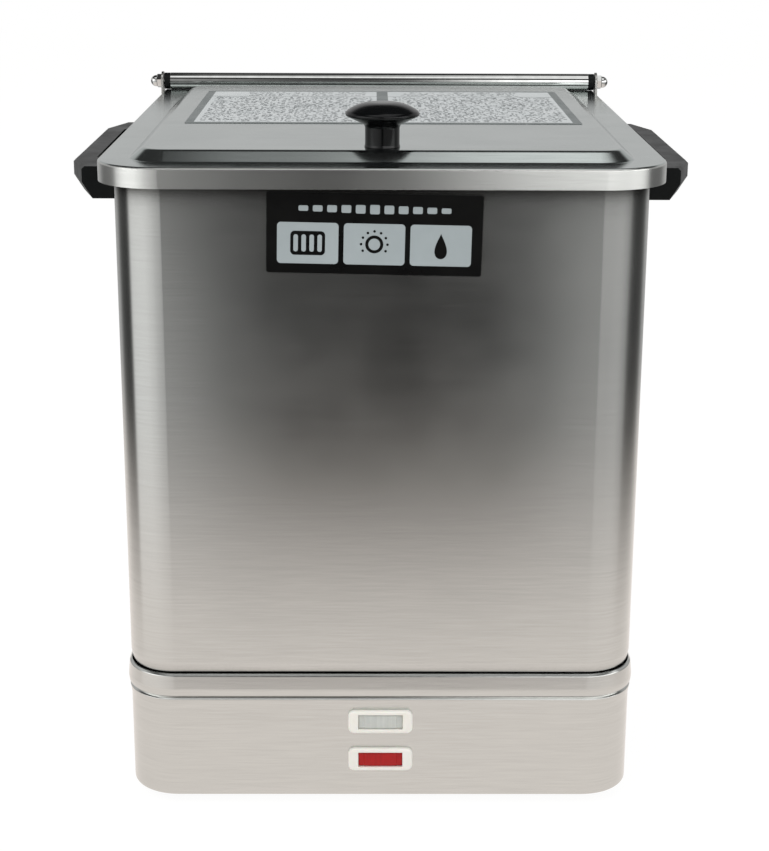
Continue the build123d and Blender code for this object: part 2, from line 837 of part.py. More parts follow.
# ---------------------------------------------------------------- heating element
element_front = element_end_margin - tank_depth / 2
element_back = -element_front
row_front = element_front + element_pitch
inner_x = element_pitch / 2
middle_x = inner_x + element_pitch
outer_x = middle_x + element_pitch
element_foot = floor_z - element_tail
half_route = [
    (inner_x, element_fitting_setback, element_foot),
    (inner_x, element_fitting_setback, element_z),
    (inner_x, row_front, element_z),
    (middle_x, row_front, element_z),
    (middle_x, element_back, element_z),
    (outer_x, element_back, element_z),
    (outer_x, element_front, element_z),
]
mirrored = [(-x, y, z) for x, y, z in reversed(half_route)]
with BuildPart() as heating_element:
    with BuildLine(Plane((0, tank_y, 0))) as sheath:
        turns = [element_bend] * (2 * len(half_route) - 4)
        FilletPolyline(
            *half_route, *mirrored, radius=[element_riser_bend, *turns, element_riser_bend]
        )
    with BuildSketch(Plane(origin=sheath.wire() @ 0, z_dir=sheath.wire() % 0)):
        Circle(element_radius)
    sweep(path=sheath.wire())
    with BuildSketch(level(element_foot)):
        with Locations(*fitting_places):
            Circle(element_pin_radius)
    extrude(amount=-element_pin_length)
keep(heating_element, "heating_element")

fitting_seat = floor_top + gasket_gauge
with BuildPart() as element_fittings:
    with BuildSketch(level(fitting_seat)):
        with Locations(*fitting_places):
            RegularPolygon(fitting_hex / 2, 6, major_radius=False)
    extrude(amount=fitting_hex_height)
    with BuildSketch(level(fitting_seat)):
        with Locations(*fitting_places):
            Circle(fitting_shank_radius)
    extrude(amount=-fitting_shank_length)
    with BuildSketch(level(fitting_seat - fitting_shank_length)):
        with Locations(*fitting_places):
            Circle(element_radius + running_slack)
    extrude(amount=fitting_shank_length + fitting_hex_height, mode=Mode.SUBTRACT)
keep(element_fittings, "element_fittings")

with BuildPart() as element_gaskets:
    with BuildSketch(level(floor_top)):
        with Locations(*fitting_places):
            Circle(gasket_radius)
            Circle(fitting_shank_radius + screw_slack, mode=Mode.SUBTRACT)
    extrude(amount=gasket_gauge)
keep(element_gaskets, "element_gaskets")

with BuildPart() as element_nuts:
    with BuildSketch(level(floor_z)):
        with Locations(*fitting_places):
            RegularPolygon(fitting_hex / 2, 6, major_radius=False)
            Circle(fitting_shank_radius + running_slack, mode=Mode.SUBTRACT)
    extrude(amount=-fitting_nut_height)
keep(element_nuts, "element_nuts")

# ---------------------------------------------------------------- thermostat
web_z = base_z + bracket_lift
body_z = web_z + plate_gauge
dial_top = dial_clearance + dial_height
thermostat_place = (thermostat_x, thermostat_y)
with BuildPart() as thermostat_bracket:
    with BuildSketch(level(base_z)):
        with Locations(thermostat_place):
            Rectangle(bracket_web_width + 2 * bracket_foot, thermostat_depth)
    extrude(amount=bracket_lift + plate_gauge)
    # Hat section: open under the web, low feet at both ends
    with BuildSketch(level(base_z)):
        with Locations(thermostat_place):
            Rectangle(bracket_web_width - 2 * plate_gauge, thermostat_depth)
    extrude(amount=bracket_lift, mode=Mode.SUBTRACT)
    with BuildSketch(level(base_z + plate_gauge)):
        with Locations(thermostat_place):
            with GridLocations(bracket_web_width + bracket_foot, 1, 2, 1):
                Rectangle(bracket_foot, thermostat_depth)
    extrude(amount=bracket_lift, mode=Mode.SUBTRACT)
    with BuildSketch(level(web_z)):
        with Locations(thermostat_place):
            Circle(spindle_radius + screw_slack)
    extrude(amount=plate_gauge, mode=Mode.SUBTRACT)
keep(thermostat_bracket, "thermostat_bracket")

with BuildPart() as thermostat_body:
    with BuildSketch(level(body_z)):
        with Locations(thermostat_place):
            RectangleRounded(thermostat_width, thermostat_depth, thermostat_round)
    extrude(amount=thermostat_height)
    with BuildSketch(level(body_z)):
        with Locations(thermostat_place):
            Circle(spindle_radius)
    extrude(amount=dial_top - dial_bore_depth + dial_end_gap - body_z)
keep(thermostat_body, "thermostat_body")

with BuildPart() as thermostat_dial:
    with BuildSketch(level(dial_clearance)):
        with Locations(thermostat_place):
            Circle(dial_radius)
            with PolarLocations(dial_radius, dial_flutes):
                Circle(dial_flute_radius, mode=Mode.SUBTRACT)
    extrude(amount=dial_height)
    # Raised pointer across the underside
    with BuildSketch(level(dial_clearance)):
        with Locations((thermostat_x, thermostat_y + dial_radius / 2)):
            Rectangle(dial_pointer_width, dial_radius - 2 * dial_flute_radius)
    extrude(amount=-dial_pointer_height)
    with BuildSketch(level(dial_top)):
        with Locations(thermostat_place):
            Circle(spindle_radius + running_slack)
    extrude(amount=-dial_bore_depth, mode=Mode.SUBTRACT)
keep(thermostat_dial, "thermostat_dial")

# Sensing phial between the element's middle rows, with its capillary down to the body
capillary_z = floor_z - capillary_drop
with BuildPart() as thermostat_phial:
    with BuildSketch(facing(0, tank_y + phial_rear, element_z, REAR)):
        Circle(phial_radius)
    extrude(amount=-phial_length)
    tips = thermostat_phial.faces().sort_by(Axis.Y)
    chamfer(tips[0].edges() + tips[-1].edges(), phial_radius / 2)
    with BuildLine(Plane((0, tank_y, 0))) as capillary:
        FilletPolyline(
            (0, phial_rear, element_z),
            (0, capillary_y, element_z),
            (0, capillary_y, capillary_z),
            (thermostat_x, thermostat_y, capillary_z),
            (thermostat_x, thermostat_y, body_z + thermostat_height),
            radius=capillary_bend,
        )
    with BuildSketch(facing(0, tank_y + phial_rear, element_z, REAR)):
        Circle(capillary_radius)
    sweep(path=capillary.wire())
keep(thermostat_phial, "thermostat_phial")

with BuildPart() as phial_gland:
    with BuildSketch(level(floor_top)):
        with Locations((0, capillary_y)):
            RegularPolygon(gland_hex / 2, 6, major_radius=False)
    extrude(amount=gland_hex_height)
    with BuildSketch(level(floor_top)):
        with Locations((0, capillary_y)):
            Circle(gland_shank_radius)
    extrude(amount=-gland_shank_length)
    with BuildSketch(level(floor_top - gland_shank_length)):
        with Locations((0, capillary_y)):
            Circle(capillary_radius + running_slack)
    extrude(amount=gland_shank_length + gland_hex_height, mode=Mode.SUBTRACT)
keep(phial_gland, "phial_gland")

# Cut-out thermostat held flat against the tank floor
with BuildPart() as limit_thermostat:
    with BuildSketch(level(floor_z)):
        with Locations((cutout_x, cutout_y)):
            RectangleRounded(cutout_flange_width, cutout_flange_depth, cutout_flange_depth / 3)
    extrude(amount=-cutout_flange_gauge)
    with BuildSketch(level(floor_z)):
        with Locations((cutout_x, cutout_y)):
            Circle(cutout_radius)
    extrude(amount=-cutout_height)
    with BuildSketch(level(floor_z - cutout_height)):
        with Locations((cutout_x, cutout_y)):
            with GridLocations(cutout_radius, 1, 2, 1):
                Rectangle(lamp_tab_height, lamp_tab_width)
    extrude(amount=-lamp_tab_length)
keep(limit_thermostat, "limit_thermostat")

# ---------------------------------------------------------------- terminals
block_place = (block_x, block_y)
with BuildPart() as terminal_block:
    with BuildSketch(level(base_z)):
        with Locations(block_place):
            RectangleRounded(block_width, block_depth, thermostat_round)
    extrude(amount=block_height)
    with BuildSketch(level(base_z + block_height)):
        with Locations(block_place):
            with GridLocations(block_pitch, 1, block_poles, 1):
                Rectangle(block_trough_width, block_depth)
    extrude(amount=-block_trough_depth, mode=Mode.SUBTRACT)
keep(terminal_block, "terminal_block")

with BuildPart() as terminal_screws:
    with BuildSketch(level(base_z + block_height - block_trough_depth)):
        with Locations(block_place):
            with GridLocations(block_pitch, block_screw_pitch, block_poles, 2):
                Circle(block_screw_radius)
    extrude(amount=block_screw_height)
    chamfer(terminal_screws.edges().group_by(Axis.Z)[-1], block_screw_bevel)
keep(terminal_screws, "terminal_screws")

stud_place = (stud_x, stud_y)
with BuildPart() as earth_stud:
    with BuildSketch(level(plate_z)):
        with Locations(stud_place):
            Circle(stud_radius)
    extrude(amount=stud_height)
    with BuildSketch(level(plate_z)):
        with Locations(stud_place):
            Circle(stud_head_radius)
    extrude(amount=-stud_head_height)
keep(earth_stud, "earth_stud")

with BuildPart() as earth_nut:
    with BuildSketch(level(base_z)):
        with Locations(stud_place):
            RegularPolygon(earth_nut_flats / 2, 6, major_radius=False)
            Circle(stud_radius + running_slack, mode=Mode.SUBTRACT)
    extrude(amount=earth_nut_height)
keep(earth_nut, "earth_nut")

# ---------------------------------------------------------------- cord gland
with BuildPart() as cord_gland:
    with BuildSketch(facing(gland_x, base_rear, gland_height, REAR)):
        Circle(gland_flange_radius)
    extrude(amount=gland_flange)
    with BuildSketch(facing(gland_x, base_rear + gland_flange, gland_height, REAR)):
        Circle(gland_nose_radius)
    extrude(amount=gland_nose, taper=gland_nose_taper)
    with BuildSketch(facing(gland_x, base_rear, gland_height, REAR)):
        Circle(gland_body_radius)
    extrude(amount=-gland_depth)
    with BuildSketch(facing(gland_x, base_rear - gland_depth, gland_height, REAR)):
        Circle(cord_radius)
    extrude(amount=gland_depth + gland_flange + gland_nose, mode=Mode.SUBTRACT)
keep(cord_gland, "cord_gland")

# ---------------------------------------------------------------- lift-out rack
rail_x = rack_width / 2
rail_y = rack_depth / 2 + rack_corner
leg_y = rack_depth / 2
with BuildPart() as rack_base:
    with BuildLine(level(rack_z)) as frame:
        FilletPolyline(
            (-rail_x, -rail_y), (rail_x, -rail_y), (rail_x, rail_y), (-rail_x, rail_y),
            radius=rack_corner, close=True,
        )
    with BuildSketch(Plane(origin=frame.wire() @ 0, z_dir=frame.wire() % 0)):
        Circle(wire_radius)
    sweep(path=frame.wire())
    # Long bars between the frame's ends
    with BuildSketch(facing(0, tank_y - rail_y, rack_z, REAR)):
        with GridLocations(rack_width / (rack_bars + 1), 1, rack_bars, 1):
            Circle(wire_radius)
    extrude(amount=2 * rail_y)
    # Legs down to the tank floor, outside the element
    with BuildSketch(level(rack_z)):
        with GridLocations(rack_width, 2 * leg_y, 2, 2):
            Circle(wire_radius)
    extrude(amount=floor_top + rack_floor_gap - rack_z)
keep(rack_base, "rack_base")

loop_top = rim_z - rack_rim_gap - wire_radius
loop_foot = loop_top - loop_height
divider_top = loop_foot - wire_radius
divider_foot = rack_z + wire_radius
divider_wires = rack_bars + 2
with BuildPart() as rack_dividers:
    for slot_wall in range(rack_slots + 1):
        wall_y = tank_y - rack_depth / 2 + slot_wall * slot_pitch
        with BuildSketch(Plane((0, wall_y, divider_foot))):
            with GridLocations(rack_width / (divider_wires - 1), 1, divider_wires, 1):
                Circle(upright_radius)
        extrude(amount=divider_top - divider_foot)
        # Top wire, welded across the uprights
        with BuildSketch(facing(-rail_x - wire_radius, wall_y, divider_top, RIGHT)):
            Circle(wire_radius)
        extrude(amount=rack_width + 2 * wire_radius)
keep(rack_dividers, "rack_dividers")

loop_x = loop_width / 2
with BuildPart() as rack_loops:
    for end in sides:
        end_y = tank_y + end * rack_depth / 2
        with BuildLine(Plane((0, end_y, 0))) as loop:
            FilletPolyline(
                (-loop_x, 0, loop_foot), (-loop_x, 0, loop_top),
                (loop_x, 0, loop_top), (loop_x, 0, loop_foot),
                radius=loop_round,
            )
        with BuildSketch(Plane((-loop_x, end_y, loop_foot))):
            Circle(wire_radius)
        sweep(path=loop.wire())
keep(rack_loops, "rack_loops")
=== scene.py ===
"""Looks of a stationary hot pack heater: brushed stainless tank, base and hinged lid.

Laid out as an add-on and run as a script. Metres, +Z up, in the same frame as the solids.
"""

from math import atan2, cos, pi, radians, sin, tan

import bmesh
import bpy
from bpy.props import FloatProperty, IntProperty, PointerProperty, StringProperty
from bpy.types import Operator, Panel, PropertyGroup
from mathutils import Matrix, Vector


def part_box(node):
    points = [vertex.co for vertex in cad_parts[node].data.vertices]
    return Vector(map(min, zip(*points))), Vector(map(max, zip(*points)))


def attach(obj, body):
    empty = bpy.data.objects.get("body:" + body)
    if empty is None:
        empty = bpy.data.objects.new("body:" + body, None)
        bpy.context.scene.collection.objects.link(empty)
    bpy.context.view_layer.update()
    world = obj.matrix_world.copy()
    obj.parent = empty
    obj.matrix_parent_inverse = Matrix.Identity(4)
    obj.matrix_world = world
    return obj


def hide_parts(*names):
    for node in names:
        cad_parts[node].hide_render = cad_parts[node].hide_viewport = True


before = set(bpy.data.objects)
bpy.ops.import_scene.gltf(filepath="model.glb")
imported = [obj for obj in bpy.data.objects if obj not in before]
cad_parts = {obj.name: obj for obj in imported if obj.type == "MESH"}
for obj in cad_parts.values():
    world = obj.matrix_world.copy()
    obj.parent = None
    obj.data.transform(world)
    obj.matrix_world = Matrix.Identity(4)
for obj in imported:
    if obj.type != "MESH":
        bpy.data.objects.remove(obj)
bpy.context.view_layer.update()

bl_info = {
    "name": "Hot Pack Heater",
    "version": (1, 0, 0),
    "blender": (4, 5, 0),
    "location": "View3D > Sidebar > Heater",
    "description": "Builds the pieces and finishes of a stationary hot pack heater",
    "category": "Add Mesh",
}

MM = 0.001
ARC_STEPS = 8           # faces along a rounded edge
CORNER_STEPS = 28       # faces round an upright corner of the sheet metal
TURN_STEPS = 96         # faces round a turned piece
ROLL_STEPS = 30         # faces round the tank's rolled rim
WIRE_SIDES = 16
HEAD_SIDES = 32         # faces round a fastener's head
BEVEL_STEPS = 3
BEVEL_ANGLE = radians(28)
SMOOTH_ANGLE = radians(32)
MERGE = 0.004 * MM
NOISE_RANGE = {"From Min": 0.3, "From Max": 0.7}    # a noise value seldom lies outside it
BRUSH = (0.9 * MM, 34 * MM)     # the sheet's drawn scratches, across and along
STREAK = (5 * MM, 160 * MM)     # and the wider streaks among them
# Painted shade: where a neighbour stands close, ambient occlusion with so many samples darkens a
# sheet's colour towards the tone below
PAINTED_SHADE_SAMPLES = 8
PAINTED_SHADE_TONE = [0.03, 0.028, 0.024, 1.0]   # linear colour painted on the sheet as shade in a narrow gap


# ------------------------------------------------------------------ small helpers
def linear(text):
    """sRGB hex colour, such as B0B4B2, as linear RGBA."""
    channels = [int(text[i:i + 2], 16) / 255 for i in (0, 2, 4)]
    return [c / 12.92 if c <= 0.04045 else ((c + 0.055) / 1.055) ** 2.4 for c in channels] + [1.0]


def shaded(tone, share):
    """A hex colour's linear RGBA, darker or lighter by a share."""
    return [min(1.0, channel * share) for channel in linear(tone)[:3]] + [1.0]


def feed(tree, node, inputs):
    """Sets each named input of a node to a value, or links it to an output.

    A node given in place of an output stands for the first of its outputs that is in use.
    """
    for name, value in inputs.items():
        if isinstance(value, bpy.types.Node):
            value = next(socket for socket in value.outputs if socket.enabled)
        if isinstance(value, bpy.types.NodeSocket):
            tree.links.new(value, node.inputs[name])
        else:
            node.inputs[name].default_value = value


def add_node(tree, kind, inputs=None, **settings):
    """A node with its settings and its inputs."""
    node = tree.nodes.new(kind)
    for name, value in settings.items():
        setattr(node, name, value)
    feed(tree, node, inputs or {})
    return node


def box_of(node):
    """Lowest corner, highest corner, middle and size of a solid."""
    low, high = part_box(node)
    return low, high, (low + high) / 2, high - low


# ------------------------------------------------------------------ sections and outlines
def rounded_path(points, radii):
    """Flat path through points, with an arc of the given radius at each inner one."""
    path = [Vector(points[0])]
    for before, corner, after, radius in zip(points, points[1:], points[2:], radii):
        corner = Vector(corner)
        inward = (corner - Vector(before)).normalized()
        outward = (Vector(after) - corner).normalized()
        turn = atan2(inward.cross(outward), inward.dot(outward))
        start = corner - inward * radius * tan(abs(turn) / 2)
        side = 1 if turn > 0 else -1
        centre = start + Vector((-inward.y, inward.x)) * radius * side
        spoke = start - centre
        for step in range(ARC_STEPS + 1):
            path.append(centre + Matrix.Rotation(turn * step / ARC_STEPS, 2) @ spoke)
    path.append(Vector(points[-1]))
    return path


def offset_path(path, distance):
    """The same path moved to its left by a distance."""
    moved = []
    for i, point in enumerate(path):
        before = path[i] - path[i - 1] if i else path[1] - path[0]
        after = path[i + 1] - path[i] if i + 1 < len(path) else before
        first, second = (Vector((-way.y, way.x)).normalized() for way in (before, after))
        moved.append(point + (first + second) * distance / (1 + first.dot(second)))
    return moved


def outline(width, front, rear, front_radius, rear_radius, inset=0.0, rear_inset=None):
    """Points round a plan with round corners: rear left, front left, front right, rear right."""
    rear_inset = inset if rear_inset is None else rear_inset
    half = width / 2 - inset
    front, rear = front + inset, rear - rear_inset
    points = []
    for quarter, (side, end) in enumerate(((-1, 1), (-1, -1), (1, -1), (1, 1))):
        radius = max(0.0, (rear_radius if end > 0 else front_radius) - inset)
        centre = Vector((side * (half - radius), (rear - radius) if end > 0 else (front + radius)))
        for step in range(CORNER_STEPS + 1):
            angle = pi / 2 * (quarter + 1 + step / CORNER_STEPS)
            points.append(centre + radius * Vector((cos(angle), sin(angle))))
    return points


def ring(points, height):
    return [Vector((p.x, p.y, height)) for p in points]


def join_rings(form, rings, closed=False, caps=(False, False), span=None):
    """Quads between rings of equally many points; span keeps a stretch of an open ring."""
    rows = [[form.verts.new(p) for p in (points[span[0]:span[1]] if span else points)]
            for points in rings]
    pairs = list(zip(rows, rows[1:])) + ([(rows[-1], rows[0])] if closed else [])
    for low, high in pairs:
        count = len(low)
        for i in range(count - 1 if span else count):
            j = (i + 1) % count
            form.faces.new((low[i], low[j], high[j], high[i]))
    if caps[0]:
        form.faces.new(list(reversed(rows[0])))
    if caps[1]:
        form.faces.new(rows[-1])
    return rows


def turned_rings(profile, origin, axis, steps=TURN_STEPS):
    """Rings of a turned piece: profile gives radius and height along the axis."""
    axis = Vector(axis).normalized()
    first = axis.orthogonal().normalized()
    second = axis.cross(first)
    return [
        [Vector(origin) + axis * height
         + radius * (first * cos(2 * pi * i / steps) + second * sin(2 * pi * i / steps))
         for i in range(steps)]
        for radius, height in profile
    ]


# ------------------------------------------------------------------ meshes and pieces
def finished_mesh(form, name):
    """Mesh from a form: points merged, faces turned outwards, edges sharp past an angle."""
    bmesh.ops.remove_doubles(form, verts=form.verts, dist=MERGE)
    bmesh.ops.dissolve_degenerate(form, edges=form.edges, dist=MERGE)
    bmesh.ops.recalc_face_normals(form, faces=form.faces)
    mesh = bpy.data.meshes.new(name)
    form.to_mesh(mesh)
    form.free()
    mesh.shade_smooth()
    mesh.set_sharp_from_angle(angle=SMOOTH_ANGLE)
    return mesh


def place_piece(mesh, name, body, solid, bevel=0.0):
    """A piece at the origin that rides on a body, in place of a solid."""
    piece = bpy.data.objects.new(name, mesh)
    bpy.context.scene.collection.objects.link(piece)
    if bevel:
        rounding = piece.modifiers.new("rounded edges", "BEVEL")
        rounding.width = bevel
        rounding.segments = BEVEL_STEPS
        rounding.limit_method = "ANGLE"
        rounding.angle_limit = BEVEL_ANGLE
    flats = piece.modifiers.new("flat faces stay flat", "WEIGHTED_NORMAL")
    flats.keep_sharp = True
    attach(piece, body)
    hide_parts(solid)


def make_piece(form, name, body, solid, finish, bevel=0.0):
    """A piece in one finish, made from a form."""
    mesh = finished_mesh(form, name)
    mesh.materials.append(finishes[finish])
    place_piece(mesh, name, body, solid, bevel)


def merged_copy(node):
    """Form copied from a solid: triangles merged and flat faces joined up."""
    form = bmesh.new()
    form.from_mesh(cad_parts[node].data)
    bmesh.ops.remove_doubles(form, verts=form.verts, dist=MERGE)
    bmesh.ops.dissolve_limit(
        form, angle_limit=radians(0.6), verts=form.verts, edges=form.edges, delimit={"NORMAL"})
    return form


def plain_result(source, mesh_name):
    """Mesh of an object after its modifiers, which are then gone with the object."""
    depsgraph = bpy.context.evaluated_depsgraph_get()
    mesh = bpy.data.meshes.new_from_object(source.evaluated_get(depsgraph))
    mesh.name = mesh_name
    bpy.data.objects.remove(source)
    return mesh


# ------------------------------------------------------------------ finishes
def new_material(name, **constants):
    """Material with one shader, whose constant values sit on its own sockets."""
    material = bpy.data.materials.new(name)
    material.use_nodes = True
    tree = material.node_tree
    shader = tree.nodes["Principled BSDF"]
    for socket, value in constants.items():
        shader.inputs[socket.replace("_", " ").title().replace("Ior", "IOR")].default_value = value
    return material, tree, shader


def surface_noise(tree, grain, detail, roughness=0.6):
    """Noise on Object coordinates; grain is its size along each axis."""
    place = add_node(tree, "ShaderNodeTexCoord").outputs["Object"]
    space = add_node(tree, "ShaderNodeMapping", {
        "Vector": place, "Scale": [1 / size for size in grain]})
    return add_node(tree, "ShaderNodeTexNoise", {
        "Vector": space, "Scale": 1.0, "Detail": detail, "Roughness": roughness}).outputs["Fac"]


def uneven_surface(tree, shader, tones, gloss, clouds, grain, bump, depth):
    """Colour and roughness that wander between two values with the clouds, and a fine relief."""
    share = add_node(tree, "ShaderNodeMapRange", {"Value": clouds, **NOISE_RANGE})
    colour = add_node(tree, "ShaderNodeMix", {
        "Factor": share, "A": tones[0], "B": tones[1]}, data_type="RGBA")
    rough = add_node(tree, "ShaderNodeMapRange", {
        "Value": clouds, **NOISE_RANGE, "To Min": gloss[0], "To Max": gloss[1]})
    fine = surface_noise(tree, [grain] * 3, 3.0)
    relief = add_node(tree, "ShaderNodeBump", {
        "Height": fine, "Strength": bump, "Distance": depth})
    feed(tree, shader, {"Base Color": colour, "Roughness": rough, "Normal": relief})


def brushed_steel(name, tone, roughness, across, axis, spin, anisotropy, lean=0.0, painted_shade_reach=0.0):
    """Stainless sheet with a belt-brushed grain.

    across is 1 along the axes that cut the grain's lines and 0 along those they follow. The
    belt's scratches are about 0.1 mm apart, and BRUSH draws them as coarse as they need to show.
    lean tips an upright face back by that slope, for a skirt that flares out a little.
    The last argument is how far off a neighbour, such as the lid's skirt, still darkens the sheet's
    colour: painted shade, from ambient occlusion.
    """
    material, tree, shader = new_material(name, metallic=1.0, anisotropic=anisotropy,
                                          anisotropic_rotation=spin)
    lines = surface_noise(tree, [BRUSH[0] if a else BRUSH[1] for a in across], 5.0, 0.7)
    streaks = surface_noise(tree, [STREAK[0] if a else STREAK[1] for a in across], 3.0)
    clouds = surface_noise(tree, [70 * MM] * 3, 2.0)
    depth = add_node(tree, "ShaderNodeMix", {"Factor": 0.22, "A": lines, "B": streaks})
    share = add_node(tree, "ShaderNodeMapRange", {"Value": depth, **NOISE_RANGE})
    colour = add_node(tree, "ShaderNodeMix", {
        "Factor": share, "A": shaded(tone, 0.94), "B": shaded(tone, 1.05)}, data_type="RGBA")
    # Painted shade: the colour darkens towards a near-black tone where a neighbour stands close,
    # read from ambient occlusion
    if painted_shade_reach:
        unshaded_share = add_node(tree, "ShaderNodeAmbientOcclusion", {"Distance": painted_shade_reach},
                              samples=PAINTED_SHADE_SAMPLES).outputs["AO"]
        unshaded_share = add_node(tree, "ShaderNodeMapRange", {
            "Value": unshaded_share, "From Min": 0.66, "From Max": 0.94, "To Min": 0.14})
        colour = add_node(tree, "ShaderNodeMix", {
            "Factor": unshaded_share, "A": PAINTED_SHADE_TONE, "B": colour}, data_type="RGBA")
    rough = add_node(tree, "ShaderNodeMapRange", {
        "Value": depth, **NOISE_RANGE, "To Min": roughness + 0.02, "To Max": roughness - 0.02})
    cloudy = add_node(tree, "ShaderNodeMapRange", {
        "Value": clouds, **NOISE_RANGE, "To Min": -0.02, "To Max": 0.02})
    rough = add_node(tree, "ShaderNodeMath", {0: rough, 1: cloudy}, operation="ADD")
    facing = add_node(tree, "ShaderNodeNewGeometry").outputs["Normal"]
    facing = add_node(tree, "ShaderNodeVectorMath", {0: facing, 1: (0.0, 0.0, lean)},
                      operation="ADD")
    bump = add_node(tree, "ShaderNodeBump", {
        "Height": lines, "Strength": 0.03, "Distance": 0.05 * MM, "Normal": facing})
    tangent = add_node(tree, "ShaderNodeTangent", direction_type="RADIAL", axis=axis)
    feed(tree, shader, {
        "Base Color": colour, "Roughness": rough, "Normal": bump, "Tangent": tangent})
    return material


def plain_metal(name, tone, roughness, cloud=12 * MM, bump=0.05):
    """Metal with a drawn, turned or dulled surface, uneven in gloss over some millimetres."""
    material, tree, shader = new_material(name, metallic=1.0)
    clouds = surface_noise(tree, [cloud] * 3, 5.0)
    uneven_surface(tree, shader, (shaded(tone, 0.8), linear(tone)),
                   (roughness * 1.35, roughness * 0.75), clouds, 0.8 * MM, bump, 0.05 * MM)
    return material


def moulded(name, tone, worn, roughness, grain=0.7 * MM, bump=0.1, **constants):
    """Moulded plastic or rubber: a fine mould grain, with faint handling marks."""
    material, tree, shader = new_material(name, **constants)
    clouds = surface_noise(tree, [26 * MM] * 3, 6.0, 0.65)
    uneven_surface(tree, shader, (linear(tone), linear(worn)),
                   (roughness * 0.85, roughness * 1.2), clouds, grain, bump, 0.06 * MM)
    return material


def printed(name, tone, faded, roughness):
    """Screen-printed film with a satin laminate: flat ink, faintly mottled."""
    return moulded(name, tone, faded, roughness, grain=0.35 * MM, bump=0.03,
                   specular_ior_level=0.2)


def lens_plastic(name, tone, edge):
    """Moulded acrylic lens over a lamp: clear colour, with painted shade for the walls behind it,
    laid as fine random streaks across its width.
    """
    material, tree, shader = new_material(
        name, ior=1.49, coat_weight=0.12, coat_roughness=0.08, roughness=0.24,
        specular_ior_level=0.22, subsurface_weight=0.05, subsurface_scale=2 * MM)
    # Painted shade: fine upright streaks, patchy, that darken the lens towards the edge colour for
    # the lamp's walls behind it
    walls = surface_noise(tree, [1.1 * MM, 60 * MM, 60 * MM], 2.0)
    clouds = surface_noise(tree, [9 * MM] * 3, 3.0)
    depth = add_node(tree, "ShaderNodeMath", {0: walls, 1: clouds}, operation="MULTIPLY")
    share = add_node(tree, "ShaderNodeMapRange", {
        "Value": depth, "From Min": 0.12, "From Max": 0.42, "To Max": 0.4})
    colour = add_node(tree, "ShaderNodeMix", {
        "Factor": share, "A": linear(tone), "B": linear(edge)}, data_type="RGBA")
    feed(tree, shader, {"Base Color": colour})
    return material


finishes = {}


def make_finishes():
    """Every finish, by the name that the pieces use."""
    colours = bpy.context.scene.heater_colours
    # 304 stainless sheet, belt-brushed level on the walls: long upright smears of light, and
    # painted shade near the lid's skirt
    finishes["wall"] = brushed_steel(
        "brushed stainless wall", colours.sheet, 0.17, (0, 0, 1), "Z", 0.25, 0.7, painted_shade_reach=24 * MM)
    # The same sheet on the base, without the painted shade, which would ring the bezels darkly
    finishes["base"] = brushed_steel(
        "brushed stainless base", colours.sheet, 0.17, (0, 0, 1), "Z", 0.25, 0.7)
    # The same sheet on the lid's flat top, brushed from side to side, in a darker, cooler tone:
    # painted shade for how light falls on the top
    finishes["top"] = brushed_steel(
        "brushed stainless top", colours.lid_top, 0.15, (0, 1, 0), "X", 0.0, 0.6)
    # The lid's skirt, rubbed by hand along its length: softer than the walls
    finishes["skirt"] = brushed_steel(
        "hand-rubbed stainless skirt", colours.sheet, 0.24, (0, 0, 1), "Z", 0.25, 0.95, lean=0.10)
    # Mill-finish stainless: soft, with no clear grain
    finishes["mill"] = plain_metal("mill finish stainless", "BFBEBA", 0.34)
    # Polished stainless tube, rod and nuts: crisp bands of light
    finishes["polished"] = plain_metal("polished stainless", "D6D7D5", 0.06, 6 * MM, 0.01)
    # Electropolished wire: bright, slightly wavy
    finishes["wire"] = plain_metal("electropolished wire", "C9C9C6", 0.2, 5 * MM)
    # Nickel alloy sheath dulled by heat and hard water
    finishes["sheath"] = plain_metal("dulled element sheath", "8E877C", 0.42, 9 * MM, 0.2)
    # Turned brass, slightly tarnished
    finishes["brass"] = plain_metal("turned brass", "C9A45C", 0.28, 4 * MM)
    # Compression-moulded black phenolic: satin, a little brown where it is handled
    finishes["phenolic"] = moulded(
        "moulded black phenolic", colours.handle, "121413", 0.36, ior=1.5, specular_ior_level=0.14)
    # Polished phenolic: deep black gloss
    finishes["knob"] = moulded(
        "polished black phenolic", colours.knob, "08090A", 0.17, bump=0.01, ior=1.5,
        specular_ior_level=0.28)
    # Nitrile rubber: matt black with a dusty bloom
    finishes["rubber"] = moulded("black nitrile rubber", "141414", "232220", 0.72)
    # Moulded nylon: warm white, softly glossy
    finishes["bezel"] = moulded(
        "ivory nylon", colours.bezel, "F3F0E8", 0.34, bump=0.02, ior=1.53, subsurface_weight=0.08,
        subsurface_scale=2 * MM)
    # Ceramic terminal block, fired white
    finishes["ceramic"] = moulded("fired white ceramic", "DAD7CE", "CBC7BC", 0.45, ior=1.55)
    finishes["red_lens"] = lens_plastic("red acrylic", colours.red_lens, "7E1213")
    finishes["clear_lens"] = lens_plastic("frosted acrylic", colours.clear_lens, "A9ADAA")
    # Printed films
    finishes["black_film"] = printed("black printed film", "030303", "070706", 0.3)
    finishes["pale_film"] = printed("pale printed film", "A8B1B4", "A1AAAD", 0.34)
    finishes["frame_film"] = printed("dark grey printed film", "6B7171", "646A6A", 0.36)
    finishes["silver_film"] = printed("silver printed film", "C6CACB", "BDC2C3", 0.36)
    finishes["ink"] = printed("grey ink", "53595C", "484E51", 0.4)


